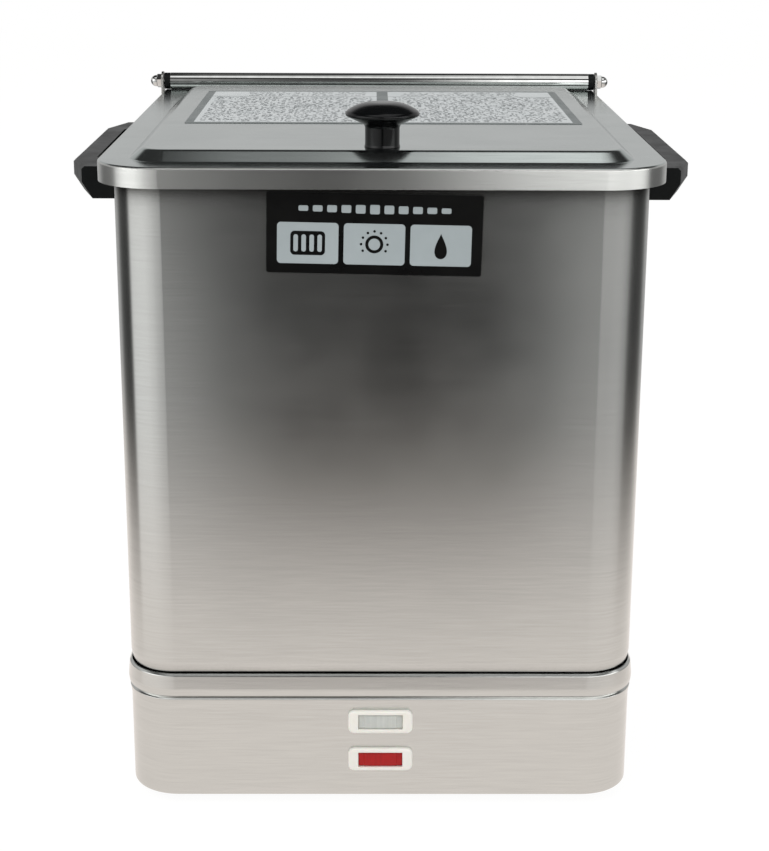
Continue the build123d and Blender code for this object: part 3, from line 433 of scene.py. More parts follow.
# ------------------------------------------------------------------ node trees for what repeats
def geometry_tree(name, sockets):
    """Empty geometry tree with a Geometry input and output and named size inputs."""
    tree = bpy.data.node_groups.new(name, "GeometryNodeTree")
    tree.interface.new_socket(name="Geometry", in_out="INPUT", socket_type="NodeSocketGeometry")
    for socket, kind in sockets:
        tree.interface.new_socket(name=socket, in_out="INPUT", socket_type="NodeSocket" + kind)
    tree.interface.new_socket(name="Geometry", in_out="OUTPUT", socket_type="NodeSocketGeometry")
    return tree, tree.nodes.new("NodeGroupInput").outputs


def end_tree(tree, geometry, material):
    """Realize, give the material and hand out."""
    whole = add_node(tree, "GeometryNodeRealizeInstances", {"Geometry": geometry})
    dressed = add_node(tree, "GeometryNodeSetMaterial", {"Geometry": whole, "Material": material})
    add_node(tree, "NodeGroupOutput", {"Geometry": dressed})
    return tree


def fastener_tree():
    """A turned head on each point: a flange, then a crown."""
    tree, given = geometry_tree("fastener heads", [
        ("Head Radius", "Float"), ("Crown Radius", "Float"), ("Head Height", "Float"),
        ("Sides", "Int"), ("Turn", "Rotation"), ("Material", "Material")])
    head = add_node(tree, "GeometryNodeMeshCone", {
        "Vertices": given["Sides"], "Radius Top": given["Crown Radius"],
        "Radius Bottom": given["Head Radius"], "Depth": given["Head Height"]})
    heads = add_node(tree, "GeometryNodeInstanceOnPoints", {
        "Points": given["Geometry"], "Instance": head, "Rotation": given["Turn"]})
    return end_tree(tree, heads, given["Material"])


def wire_tree():
    """Round wire along each line of points, with bends of a radius."""
    tree, given = geometry_tree("bent wires", [
        ("Wire Radius", "Float"), ("Bend Radius", "Float"), ("Sides", "Int"),
        ("Material", "Material")])
    line = add_node(tree, "GeometryNodeMeshToCurve", {"Mesh": given["Geometry"]})
    bent = add_node(tree, "GeometryNodeFilletCurve", {
        "Curve": line, "Radius": given["Bend Radius"], "Count": ARC_STEPS,
        "Limit Radius": True}, mode="POLY")
    section = add_node(tree, "GeometryNodeCurvePrimitiveCircle", {
        "Resolution": given["Sides"], "Radius": given["Wire Radius"]})
    wire = add_node(tree, "GeometryNodeCurveToMesh", {
        "Curve": bent, "Profile Curve": section, "Fill Caps": True})
    return end_tree(tree, wire, given["Material"])


def dash_tree():
    """Short printed dashes in rows, of uneven length and place, some left out."""
    tree, given = geometry_tree("printed rows", [
        ("Width", "Float"), ("Depth", "Float"), ("Columns", "Int"), ("Rows", "Int"),
        ("Dash Length", "Float"), ("Dash Width", "Float"), ("Kept Share", "Float"),
        ("Least Shift", "Vector"), ("Most Shift", "Vector"),
        ("Seed", "Int"), ("Material", "Material")])
    rows = add_node(tree, "GeometryNodeMeshGrid", {
        "Size X": given["Width"], "Size Y": given["Depth"],
        "Vertices X": given["Columns"], "Vertices Y": given["Rows"]})
    chosen = add_node(tree, "FunctionNodeRandomValue", {
        "Probability": given["Kept Share"], "Seed": given["Seed"]}, data_type="BOOLEAN")
    shift = add_node(tree, "FunctionNodeRandomValue", {
        "Min": given["Least Shift"], "Max": given["Most Shift"], "Seed": given["Seed"]},
        data_type="FLOAT_VECTOR")
    strewn = add_node(tree, "GeometryNodeSetPosition", {"Geometry": rows, "Offset": shift})
    dash = add_node(tree, "GeometryNodeMeshGrid", {
        "Size X": given["Dash Length"], "Size Y": given["Dash Width"],
        "Vertices X": 2, "Vertices Y": 2})
    stretch = add_node(tree, "FunctionNodeRandomValue", {
        "Min": (0.4, 0.6, 1.0), "Max": (1.2, 1.2, 1.0), "Seed": given["Seed"]},
        data_type="FLOAT_VECTOR")
    dashes = add_node(tree, "GeometryNodeInstanceOnPoints", {
        "Points": strewn, "Instance": dash, "Selection": chosen, "Scale": stretch})
    return end_tree(tree, dashes, given["Material"])


def grown(tree, points, edges, name, **inputs):
    """Plain mesh that a tree grows on points and edges, with its inputs set by name."""
    mesh = bpy.data.meshes.new(name)
    mesh.from_pydata([tuple(p) for p in points], edges, [])
    source = bpy.data.objects.new(name, mesh)
    bpy.context.scene.collection.objects.link(source)
    growth = source.modifiers.new("growth", "NODES")
    growth.node_group = tree
    for socket in tree.interface.items_tree:
        key = socket.name.lower().replace(" ", "_")
        if socket.in_out == "INPUT" and key in inputs:
            growth[socket.identifier] = inputs[key]
    return plain_result(source, name)


def append_mesh(form, mesh, move=None):
    """Adds a mesh to a form, moved by a matrix."""
    start = len(form.verts)
    form.from_mesh(mesh)
    form.verts.ensure_lookup_table()
    if move is not None:
        bmesh.ops.transform(form, matrix=move, verts=form.verts[start:])


def add_heads(form, tree, points, turn, radius, crown, height):
    """Adds fastener heads that stand on points to a form."""
    append_mesh(form, grown(tree, points, [], "heads", head_radius=radius, crown_radius=crown,
                            head_height=height, sides=HEAD_SIDES, turn=turn,
                            material=finishes["polished"]))


def add_wires(form, tree, points, radius, edges=None, bend=0.0):
    """Adds wires to a form: along the given edges, or from each even point to the next."""
    edges = edges or [(i, i + 1) for i in range(0, len(points), 2)]
    append_mesh(form, grown(tree, points, edges, "wires", wire_radius=radius, bend_radius=bend,
                            sides=WIRE_SIDES, material=finishes["wire"]))


# ------------------------------------------------------------------ settings
class HeaterSizes(PropertyGroup):
    """Sizes of the sheet metal and trim that the solids' boxes don't give."""

    sheet: FloatProperty(name="Sheet", description="Gauge of the sheet", unit="LENGTH",
                         default=0.9 * MM)
    corner: FloatProperty(name="Corner", description="Radius of the tank's upright corners",
                          unit="LENGTH", default=30 * MM)
    roll: FloatProperty(name="Rim roll", description="Thickness of the tank's rolled rim",
                        unit="LENGTH", default=4.4 * MM)
    joggle: FloatProperty(name="Joggle", description="How far the tank's foot is set in",
                          unit="LENGTH", default=1.3 * MM)
    floor_bend: FloatProperty(name="Floor bend", description="Bend at the tank's floor",
                              unit="LENGTH", default=12 * MM)
    bead_height: FloatProperty(name="Bead height", description="Height of the base's bead",
                               unit="LENGTH", default=15.6 * MM)
    bead_out: FloatProperty(name="Bead bulge", description="How far the bead stands proud",
                            unit="LENGTH", default=1.75 * MM)
    base_flange: FloatProperty(name="Base flange", description="Width of the base's return",
                               unit="LENGTH", default=22 * MM)
    lid_bend: FloatProperty(name="Lid bend", description="Bend from the lid's top to its skirt",
                            unit="LENGTH", default=1.6 * MM)
    panel_width: FloatProperty(name="Panel width", description="Width of the raised panel",
                               unit="LENGTH", default=296 * MM)
    panel_radius: FloatProperty(name="Panel corner", description="Corner of the raised panel",
                                unit="LENGTH", default=22 * MM)
    panel_front: FloatProperty(name="Front brim", description="Brim before the raised panel",
                               unit="LENGTH", default=20 * MM)
    panel_rear: FloatProperty(name="Rear brim", description="Brim behind the raised panel",
                              unit="LENGTH", default=26 * MM)
    panel_height: FloatProperty(name="Panel height", description="Rise of the raised panel",
                                unit="LENGTH", default=6.3 * MM)
    panel_run: FloatProperty(name="Panel slope", description="Run of the raised panel's side",
                             unit="LENGTH", default=8 * MM)
    wire: FloatProperty(name="Rack wire", description="Radius of the rack's wires",
                        unit="LENGTH", default=2.5 * MM)
    upright: FloatProperty(name="Rack upright", description="Radius of the rack's uprights",
                           unit="LENGTH", default=2.0 * MM)
    rack_slots: IntProperty(name="Rack slots", description="Packs that the rack holds", default=6)
    label_tilt: FloatProperty(name="Label tilt", description="How far the front label leans",
                              subtype="ANGLE", default=radians(1.1))


class HeaterColours(PropertyGroup):
    """Colours that a user would change, as sRGB hex."""

    sheet: StringProperty(name="Sheet", description="Brushed stainless sheet", default="CBCCC9")
    # Painted shade: the lid's top takes the sheet's colour, made darker and cooler for how the
    # light falls on it
    lid_top: StringProperty(name="Lid top", description="Brushed stainless lid, seen on top",
                            default="BDC4C2")
    handle: StringProperty(name="Handles", description="Moulded handles", default="0C0E0F")
    knob: StringProperty(name="Knob", description="Polished knob", default="060708")
    bezel: StringProperty(name="Bezels", description="Lamp bezels", default="FBF9F3")
    red_lens: StringProperty(name="Red lens", description="Heating lamp's lens", default="B51A1B")
    clear_lens: StringProperty(name="Clear lens", description="Power lamp's lens",
                               default="D2D4D0")


def sizes():
    return bpy.context.scene.heater_sizes


# ------------------------------------------------------------------ sheet metal
class HEATER_OT_tank(Operator):
    """Tank: one deep shell with a joggled foot and a rolled rim"""

    bl_idname = "heater.tank"
    bl_label = "Tank"

    def execute(self, context):
        s = sizes()
        low, high, _, size = box_of("tank")
        rim_out = s.roll - s.sheet
        width = size.x - 2 * rim_out
        front, rear = low.y + rim_out, high.y - rim_out
        foot_top = box_of("base_shell")[1].z
        joggle_top = foot_top + 6.8 * MM
        joggle_bend = 3 * MM
        floor_edge = s.joggle + s.floor_bend + 4 * MM
        roll = s.roll / 2
        roll_x, roll_z = s.sheet - roll, high.z - roll
        meet_z = roll_z - (roll ** 2 - roll_x ** 2) ** 0.5
        # Outside, from the floor up; x is how far a point lies inside the wall
        outside = rounded_path(
            [(floor_edge, low.z), (s.joggle, low.z), (s.joggle, foot_top), (0, joggle_top),
             (0, meet_z)], (s.floor_bend, joggle_bend, joggle_bend))
        start = atan2(meet_z - roll_z, -roll_x)
        turns = [start - (start + 2 * pi) * i / ROLL_STEPS for i in range(1, ROLL_STEPS)]
        curl = [Vector((roll_x + roll * cos(turn), roll_z + roll * sin(turn))) for turn in turns]
        foot_in = s.joggle + s.sheet
        inside = rounded_path(
            [(s.sheet, roll_z), (s.sheet, joggle_top), (foot_in, foot_top),
             (foot_in, low.z + s.sheet), (floor_edge, low.z + s.sheet)],
            (joggle_bend, joggle_bend, s.floor_bend - s.sheet))
        form = bmesh.new()
        rings = [ring(outline(width, front, rear, s.corner, s.corner, p.x), p.y)
                 for p in outside + curl + inside]
        join_rings(form, rings, caps=(True, True))
        make_piece(form, "tank_shell", "housing", "tank", "wall")
        return {"FINISHED"}


class HEATER_OT_base(Operator):
    """Base: a drawn skirt whose bead covers the foot of the tank"""

    bl_idname = "heater.base"
    bl_label = "Base"

    def execute(self, context):
        s = sizes()
        low, high, _, _ = box_of("base_shell")
        tank_low, tank_high, _, tank_size = box_of("tank")
        step = 0.5 * MM
        rim_out = s.roll - s.sheet
        width = tank_size.x - 2 * rim_out + 2 * step
        front, rear = tank_low.y + rim_out - step, tank_high.y - rim_out + step
        radius = s.corner + step
        bead, out = high.z - s.bead_height, -s.bead_out
        # The wall flares a little, turns in over a crease, and comes out again as the bead
        section = rounded_path(
            [(s.base_flange, low.z), (0, low.z), (0, bead - 7 * MM), (-0.9 * MM, bead - 1.4 * MM),
             (0.5 * MM, bead - 0.1 * MM), (out * 0.72, bead + 1.3 * MM),
             (out, bead + 4.5 * MM), (out * 0.45, high.z - 1.5 * MM), (0.2 * MM, high.z - 0.2 * MM),
             (0.75 * MM, high.z)],
            [bend * MM for bend in (2.5, 14, 0.5, 0.25, 0.6, 14, 1.1, 0.2)])
        back = offset_path(section, -s.sheet)
        form = bmesh.new()
        rings = [ring(outline(width, front, rear, radius, radius, p.x), p.y)
                 for p in section + back[::-1]]
        join_rings(form, rings, closed=True)
        make_piece(form, "base_drum", "housing", "base_shell", "base")
        return {"FINISHED"}


class HEATER_OT_lid(Operator):
    """Lid: a pressed tray with a raised panel and a skirt on three sides"""

    bl_idname = "heater.lid"
    bl_label = "Lid"

    def execute(self, context):
        s = sizes()
        low, high, _, size = box_of("lid")
        brim = high.z - s.panel_height
        tank_width = box_of("tank")[3].x - 2 * (s.roll - s.sheet)
        radius = s.corner + (size.x - tank_width) / 2
        panel_front, panel_rear = low.y + s.panel_front, high.y - s.panel_rear

        def plan(inset):
            return outline(size.x, low.y, high.y, radius, 0.0, inset, rear_inset=0.0)

        def panel(inset):
            return outline(s.panel_width, panel_front, panel_rear, s.panel_radius,
                           s.panel_radius, inset)

        brim_flat, panel_flat = 4 * MM, 5 * MM
        foot_bend, top_bend = 2.2 * MM, 5.0 * MM
        slope = rounded_path(
            [(-brim_flat, 0), (0, 0), (s.panel_run, s.panel_height),
             (s.panel_run + panel_flat, s.panel_height)], (foot_bend, top_bend))
        form = bmesh.new()
        # Upper skin, from the brim's edge over the panel, and the lower skin under it
        for level, edge in ((0.0, s.lid_bend), (-s.sheet, s.sheet)):
            rings = [ring(plan(edge), brim + level)]
            rings += [ring(panel(p.x), brim + p.y) for p in offset_path(slope, level)]
            join_rings(form, rings, caps=(False, True))
        # Skirt, bent down along the sides and the front
        first, last = CORNER_STEPS, 3 * (CORNER_STEPS + 1) + 1
        bend = rounded_path([(s.lid_bend, brim), (0, brim), (0, low.z)], (s.lid_bend,))
        section = bend + [Vector((s.sheet, low.z)), Vector((s.sheet, brim - s.sheet))]
        rows = join_rings(form, [ring(plan(p.x), p.y) for p in reversed(section)],
                          span=(first, last))
        for end in (0, -1):
            form.faces.new([row[end] for row in rows])
        # Rear edge between the two skins
        rear = [Vector((side * (size.x / 2 - inset), high.y, z)) for side, inset, z in (
            (-1, s.lid_bend, brim), (1, s.lid_bend, brim),
            (1, s.sheet, brim - s.sheet), (-1, s.sheet, brim - s.sheet))]
        form.faces.new([form.verts.new(p) for p in rear])
        mesh = finished_mesh(form, "lid_pressing")
        mesh.materials.append(finishes["top"])
        mesh.materials.append(finishes["skirt"])
        for face in mesh.polygons:
            upright = abs(face.normal.z) < 0.7
            face.material_index = int(upright and face.center.z < brim - 0.5 * MM)
        place_piece(mesh, "lid_pressing", "lid", "lid")
        return {"FINISHED"}


# ------------------------------------------------------------------ knob and handles
class HEATER_OT_knob(Operator):
    """Knob: a turned mushroom with a flared stem"""

    bl_idname = "heater.knob"
    bl_label = "Knob"

    def execute(self, context):
        low, _, middle, size = box_of("lid_knob")
        reach, stem = size.x / 2, 10.15 * MM
        height = size.z - 1.8 * MM      # the knob in view is a little flatter than its solid
        # Half section from the foot up: stem, flare under the head, rim and crown
        profile = rounded_path(
            [(0, 0), (stem + 0.5 * MM, 0), (stem, 1.6 * MM), (stem, height * 0.49),
             (reach - 3.0 * MM, height * 0.655), (reach, height * 0.71),
             (reach - 1.4 * MM, height * 0.80), (reach * 0.62, height * 0.985), (0, height)],
            [bend * MM for bend in (0.4, 1, 3, 1.6, 1.3, 3, 26)])
        form = bmesh.new()
        origin = (middle.x, middle.y, low.z)
        join_rings(form, turned_rings([(p.x, p.y) for p in profile], origin, (0, 0, 1)))
        make_piece(form, "lid_knob_turned", "lid", "lid_knob", "knob")
        return {"FINISHED"}


class HEATER_OT_handles(Operator):
    """Handles: moulded bars with raked ends and soft edges"""

    bl_idname = "heater.handles"
    bl_label = "Handles"

    def execute(self, context):
        for side in ("left", "right"):
            solid = f"handle_{side}"
            make_piece(merged_copy(solid), f"grip_{side}", "housing", solid,
                       "phenolic", 0.7 * MM)
        return {"FINISHED"}


# ------------------------------------------------------------------ hinge
class HEATER_OT_hinge(Operator):
    """Hinge: tube, bushes, acorn nuts, brackets and their rivets"""

    bl_idname = "heater.hinge"
    bl_label = "Hinge"

    def execute(self, context):
        low, _, middle, size = box_of("hinge_tube")
        radius, wall, edge = size.z / 2, 1.2 * MM, 0.35 * MM
        profile = [(radius - wall, 0), (radius - edge, 0), (radius, edge), (radius, size.x - edge),
                   (radius - edge, size.x), (radius - wall, size.x)]
        form = bmesh.new()
        start = Vector((low.x, middle.y, middle.z))
        join_rings(form, turned_rings(profile, start, (1, 0, 0)), closed=True)
        make_piece(form, "lid_tube", "lid", "hinge_tube", "polished")
        self.nuts(middle)
        for side in ("left", "right"):
            solid = f"hinge_bracket_{side}"
            make_piece(merged_copy(solid), f"bracket_{side}", "housing", solid,
                       "mill", 0.25 * MM)
        make_piece(merged_copy("hinge_bushes"), "end_bushes", "lid",
                   "hinge_bushes", "phenolic", 0.25 * MM)
        self.rivets()
        return {"FINISHED"}

    def nuts(self, middle):
        """Acorn nuts: a chamfered hexagon under a dome"""
        _, high, _, size = box_of("acorn_nuts")
        inner = box_of("hinge_bracket_right")[1].x
        corner, dome, hexagon = size.y / 2 / cos(pi / 6), 4.3 * MM, 3.8 * MM
        collar = hexagon + 0.6 * MM
        rise = high.x - inner - collar
        turns = [pi / 2 * i / 14 for i in range(1, 15)]
        profile = [(dome, hexagon), (dome, collar)]
        profile += [(dome * cos(turn), collar + rise * sin(turn)) for turn in turns]
        form = bmesh.new()
        for side in (-1, 1):
            origin, axis = Vector((side * inner, middle.y, middle.z)), (side, 0, 0)
            rings = []
            for inset, height in ((0.5 * MM, 0), (0, 0.4 * MM), (0, hexagon - 0.5 * MM),
                                  (0.7 * MM, hexagon)):
                corners = turned_rings([(corner - inset, height)], origin, axis, 6)[0]
                rings.append([corners[i].lerp(corners[(i + 1) % 6], j / 8)
                              for i in range(6) for j in range(8)])
            rings += turned_rings(profile, origin, axis, 48)
            join_rings(form, rings, caps=(True, False))
        make_piece(form, "hinge_acorn_nuts", "housing", "acorn_nuts", "polished")

    def rivets(self):
        """Rivet heads on both brackets, outside and inside the wall"""
        low, high, middle, size = box_of("bracket_rivets")
        head = 4.6 * MM
        pitch = size.z - 2 * head
        half = size.x / 2 - head
        tree = fastener_tree()
        form = bmesh.new()
        # Full heads outside, flatter and narrower ones inside
        for face, turn, radius, crown, height in (
                (high.y - 2.2 * MM, -pi / 2, head, 2.0 * MM, 2.2 * MM),
                (low.y + 1.4 * MM, pi / 2, head - 1 * MM, 2.9 * MM, 1.4 * MM)):
            points = [(side * (half - across), face, middle.z + up * pitch / 2)
                      for side in (-1, 1) for across in (0, pitch) for up in (-1, 1)]
            add_heads(form, tree, points, (turn, 0.0, 0.0), radius, crown, height)
        make_piece(form, "rivet_heads", "housing", "bracket_rivets", "polished",
                   0.7 * MM)


# ------------------------------------------------------------------ labels
def plate(form, points, low, high, direction, origin, right, up):
    """A thin flat plate: outline points in its own plane, between two depths."""
    rings = [[Vector(origin) + right * p.x + up * p.y + direction * d for p in points]
             for d in (low, high)]
    join_rings(form, rings, caps=(True, True))


def film_layers(names, outward, origin, right, up, ink):
    """Empty layers of a printed film by name, and what lays a flat shape on one of them."""
    layers = {name: bmesh.new() for name in names}

    def lay(layer, points, level, thickness=ink):
        plate(layers[layer], points, level, level + thickness, outward, origin, right, up)

    return layers, lay


def rounded_box(width, height, radius, x=0.0, y=0.0):
    corners = outline(width, -height / 2, height / 2, radius, radius)
    return [p + Vector((x, y)) for p in corners]


def disc(radius, x=0.0, y=0.0, sides=40):
    turns = [2 * pi * i / sides for i in range(sides)]
    return [Vector((x + radius * cos(turn), y + radius * sin(turn))) for turn in turns]


def joined(form, layers, name):
    """One mesh from several closed forms, each with its finish."""
    materials = []
    for layer, material in layers:
        if material not in materials:
            materials.append(material)
        bmesh.ops.recalc_face_normals(layer, faces=layer.faces)
        for face in layer.faces:
            face.material_index = materials.index(material)
        part = bpy.data.meshes.new(name)
        layer.to_mesh(part)
        layer.free()
        form.from_mesh(part)
        bpy.data.meshes.remove(part)
    mesh = bpy.data.meshes.new(name)
    form.to_mesh(mesh)
    form.free()
    for material in materials:
        mesh.materials.append(material)
    return mesh


class HEATER_OT_front_label(Operator):
    """Front label: a black film with three pale fields and plain signs"""

    bl_idname = "heater.front_label"
    bl_label = "Front label"

    def execute(self, context):
        _, high, middle, _ = box_of("front_label")
        tilt = sizes().label_tilt
        outward = Vector((0, -1, 0))
        right = Vector((cos(tilt), 0, -sin(tilt)))
        up = Vector((sin(tilt), 0, cos(tilt)))
        origin = Vector((middle.x, high.y, middle.z))
        width, height = 124 * MM, 47 * MM
        film, ink = 0.3 * MM, 0.06 * MM
        layers, lay = film_layers(("black_film", "pale_film", "signs"), outward, origin, right, up,
                                  ink)
        lay("black_film", rounded_box(width, height, 1.2 * MM), 0.0, film)
        margin, gap = 6 * MM, 3 * MM
        field = (width - 2 * margin - 2 * gap) / 3
        field_height = 24 * MM
        field_y = -height / 2 + margin - 0.5 * MM + field_height / 2
        centres = [(i - 1) * (field + gap) for i in range(3)]
        for x in centres:
            lay("pale_film", rounded_box(field, field_height, 2.2 * MM, x, field_y), film)
        # Row of pale bars above, longest in the middle
        bars_y, bar_width, bar_pitch = 14.2 * MM, 5.6 * MM, 8.2 * MM
        for i in range(-5, 6):
            bar = (5.4 - 0.45 * abs(i)) * MM
            lay("pale_film", rounded_box(bar_width, bar, 0.9 * MM, i * bar_pitch, bars_y), film)
        sign, cut = film + ink, 2 * ink
        # A pack with its sewn channels
        channel_width, channel_height, channel_pitch = 2.6 * MM, 10 * MM, 4.6 * MM
        lay("signs", rounded_box(20 * MM, 14 * MM, 2.5 * MM, centres[0], field_y), sign)
        for i in range(4):
            x = centres[0] + (i - 1.5) * channel_pitch
            lay("pale_film", rounded_box(channel_width, channel_height, 1.2 * MM, x, field_y),
                sign, cut)
        # A dial with its marks
        lay("signs", disc(5.2 * MM, centres[1], field_y), sign)
        lay("pale_film", disc(3.4 * MM, centres[1], field_y), sign, cut)
        mark, marks_out = 0.75 * MM, 7.6 * MM
        for turn in [radians(-30 + 30 * i) for i in range(9)]:
            lay("signs", disc(mark, centres[1] + marks_out * cos(turn),
                              field_y + marks_out * sin(turn), 16), sign)
        # A drop, its points reversed so that they run anticlockwise as the others do
        drop_half, drop_height = 5 * MM, 7.4 * MM
        drop = [Vector((centres[2] + drop_half * sin(turn) * sin(turn / 2) ** 1.4,
                        field_y - 0.4 * MM + drop_height * cos(turn)))
                for turn in [2 * pi * i / 48 for i in range(48)]]
        lay("signs", drop[::-1], sign)
        printed_as = {"signs": "black_film"}
        mesh = joined(bmesh.new(), [(layers[name], finishes[printed_as.get(name, name)])
                                    for name in layers], "front_film")
        place_piece(mesh, "front_film", "housing", "front_label")
        return {"FINISHED"}


class HEATER_OT_lid_label(Operator):
    """Lid label: a grey film with silver fields and rows of printed dashes"""

    bl_idname = "heater.lid_label"
    bl_label = "Lid label"

    def execute(self, context):
        low, _, middle, size = box_of("lid_label")
        right, up, outward = Vector((1, 0, 0)), Vector((0, 1, 0)), Vector((0, 0, 1))
        origin = Vector((middle.x, middle.y, low.z))
        film, ink = 0.28 * MM, 0.04 * MM
        layers, lay = film_layers(("frame_film", "silver_film"), outward, origin, right, up, ink)
        lay("frame_film", rounded_box(size.x, size.y, 1.5 * MM), 0.0, film)
        border, bar, cross, head = 5.5 * MM, 8 * MM, 2 * MM, 30 * MM
        half = (size.x - 2 * border - bar) / 2
        body = size.y - 2 * border - cross - head
        body_y, head_y = -(head + cross) / 2, (body + cross) / 2
        # Fields of print: middle, width, depth and seed
        rows = []
        for side in (-1, 1):
            x = side * (bar + half) / 2
            for field, y in ((body, body_y), (head, head_y)):
                lay("silver_film", rounded_box(half, field, 1 * MM, x, y), film)
            rows.append((x, body_y, half - 8 * MM, body - 8 * MM, side + 2))
            rows.append((x - side * 8 * MM, head_y, half - 36 * MM, head - 9 * MM, side + 7))
        tree = dash_tree()
        form = bmesh.new()
        pitch, line, shift = 2.3 * MM, 3.2 * MM, (1.1 * MM, 0.5 * MM, 0.0)
        for x, y, width, depth, seed in rows:
            mesh = grown(tree, [(0, 0, 0)], [], "printed rows", width=width, depth=depth,
                         columns=int(width / pitch), rows=int(depth / line),
                         dash_length=2.0 * MM, dash_width=1.7 * MM, kept_share=0.66, seed=seed,
                         least_shift=[-way for way in shift], most_shift=shift,
                         material=finishes["ink"])
            lift = origin + Vector((x, y, film + 2 * ink))
            append_mesh(form, mesh, Matrix.Translation(lift))
        for face in form.faces:
            face.material_index = len(layers)
        mesh = joined(form, [(layers[name], finishes[name]) for name in layers], "lid_film")
        mesh.materials.append(finishes["ink"])
        place_piece(mesh, "lid_film", "lid", "lid_label")
        return {"FINISHED"}


# ------------------------------------------------------------------ signal lamps
class HEATER_OT_lamps(Operator):
    """Signal lamps: moulded bezels, each with a lens sunk in it"""

    bl_idname = "heater.lamps"
    bl_label = "Signal lamps"

    def execute(self, context):
        for lamp, lens in (("power", "clear_lens"), ("heat", "red_lens")):
            solid = f"{lamp}_bezel"
            make_piece(merged_copy(solid), f"{lamp}_lamp_bezel", "housing",
                       solid, "bezel", 0.3 * MM)
            self.lens(lamp, lens)
        return {"FINISHED"}

    def lens(self, lamp, lens):
        """Lens with a raised middle field and end lands, cut from one block"""
        low, _, middle, size = box_of(f"{lamp}_lens")
        bevel, field, step, side = 0.5 * MM, size.x * 0.72, 0.45 * MM, 3 * MM
        half, rise = size.x / 2, size.z / 2
        # Across the width: depth of the face behind the foremost point
        left = [(half, side), (half, bevel + step), (half - bevel, step),
                (field / 2 + step, step), (field / 2, 0)]
        across = [(-x, depth) for x, depth in left] + left[::-1]
        foot = [(rise, size.y), (rise, 1.2 * MM), (rise - 0.4 * MM, 0.5 * MM),
                (rise - 1.4 * MM, 0.0)]
        upright = [(-z, depth) for z, depth in foot] + foot[::-1]
        form = bmesh.new()
        rows = [[form.verts.new((middle.x + x, low.y + min(size.y, behind + depth), middle.z + z))
                 for x, depth in across] for z, behind in upright]
        for low_row, high_row in zip(rows, rows[1:]):
            for i in range(len(across) - 1):
                form.faces.new((low_row[i], low_row[i + 1], high_row[i + 1], high_row[i]))
        for i in (0, -1):
            form.faces.new([row[i] for row in rows])
        form.faces.new(rows[0] + rows[-1][::-1])
        make_piece(form, f"{lamp}_lamp_lens", "housing", f"{lamp}_lens", lens)


# ------------------------------------------------------------------ rack
class HEATER_OT_rack(Operator):
    """Rack: welded wire with dividers for the packs and two lifting loops"""

    bl_idname = "heater.rack"
    bl_label = "Rack"

    def execute(self, context):
        tree = wire_tree()
        for draw, name, solid in ((self.dividers, "divider_wires", "rack_dividers"),
                                  (self.loops, "loop_wires", "rack_loops"),
                                  (self.base, "frame_wires", "rack_base")):
            form = bmesh.new()
            draw(form, tree, sizes(), box_of(solid))
            make_piece(form, name, "rack", solid, "wire")
        return {"FINISHED"}

    def dividers(self, form, tree, s, box):
        """Walls of uprights under a bar, one more than there are packs"""
        low, high, _, size = box
        half, top = size.x / 2 - s.wire, high.z - s.wire
        pitch = (size.y - 2 * s.wire) / s.rack_slots
        uprights, bars = [], []
        for wall in range(s.rack_slots + 1):
            y = low.y + s.wire + wall * pitch
            bars += [(low.x, y, top), (high.x, y, top)]
            for i in range(-3, 4):
                uprights += [(i * half / 3, y, low.z), (i * half / 3, y, top)]
        add_wires(form, tree, uprights, s.upright)
        add_wires(form, tree, bars, s.wire)

    def loops(self, form, tree, s, box):
        """A loop at the front and one at the rear, to lift the rack by"""
        low, high, _, _ = box
        left, right, top = low.x + s.wire, high.x - s.wire, high.z - s.wire
        points, edges = [], []
        for y in (low.y + s.wire, high.y - s.wire):
            edges += [(len(points) + i, len(points) + i + 1) for i in range(3)]
            points += [(left, y, low.z), (left, y, top), (right, y, top), (right, y, low.z)]
        add_wires(form, tree, points, s.wire, edges, 14 * MM)

    def base(self, form, tree, s, box):
        """Frame, bars across it, and four legs"""
        low, high, middle, size = box
        x, y, z = size.x / 2 - s.wire, size.y / 2 - s.wire, high.z - s.wire
        corner = 12 * MM
        # The frame is a closed ring that starts on a straight side
        ends = [(0, -y), (x, -y), (x, y), (-x, y), (-x, -y), (0, -y)]
        points = [(px + middle.x, py + middle.y, z) for px, py in ends]
        edges = [(i, i + 1) for i in range(len(points) - 1)]
        add_wires(form, tree, points, s.wire, edges, corner)
        points = []
        for i in range(-2, 3):
            points += [(i * x / 3, middle.y - y, z), (i * x / 3, middle.y + y, z)]
        for side in (-1, 1):
            for end in (-1, 1):
                leg_y = middle.y + end * (y - corner)
                points += [(side * x, leg_y, z), (side * x, leg_y, low.z)]
        add_wires(form, tree, points, s.wire)


# ------------------------------------------------------------------ underneath and inside
class HEATER_OT_fasteners(Operator):
    """Screws that repeat: heads grown on the points where they sit"""

    bl_idname = "heater.fasteners"
    bl_label = "Screws"

    def execute(self, context):
        tree = fastener_tree()
        _, _, middle, size = box_of("handle_screws")
        head = 4.8 * MM
        form = bmesh.new()
        for side in (-1, 1):
            wall = side * (size.x / 2 - 20 * MM)
            points = [(wall, middle.y + end * (size.y / 2 - head), middle.z) for end in (-1, 1)]
            add_heads(form, tree, points, (0.0, -side * pi / 2, 0.0), head, 3.4 * MM, 2.6 * MM)
        make_piece(form, "handle_screw_heads", "housing", "handle_screws",
                   "polished", 0.6 * MM)
        _, _, middle, size = box_of("bottom_plate_screws")
        head = 3.8 * MM
        plate_under = box_of("bottom_plate")[0].z
        points = [(side * (size.x / 2 - head), middle.y + row * (size.y / 2 - head), plate_under)
                  for side in (-1, 1) for row in (-1, 0, 1)]
        form = bmesh.new()
        add_heads(form, tree, points, (pi, 0.0, 0.0), head, 2.6 * MM, 2.2 * MM)
        make_piece(form, "plate_screw_heads", "housing", "bottom_plate_screws",
                   "polished", 0.5 * MM)
        return {"FINISHED"}


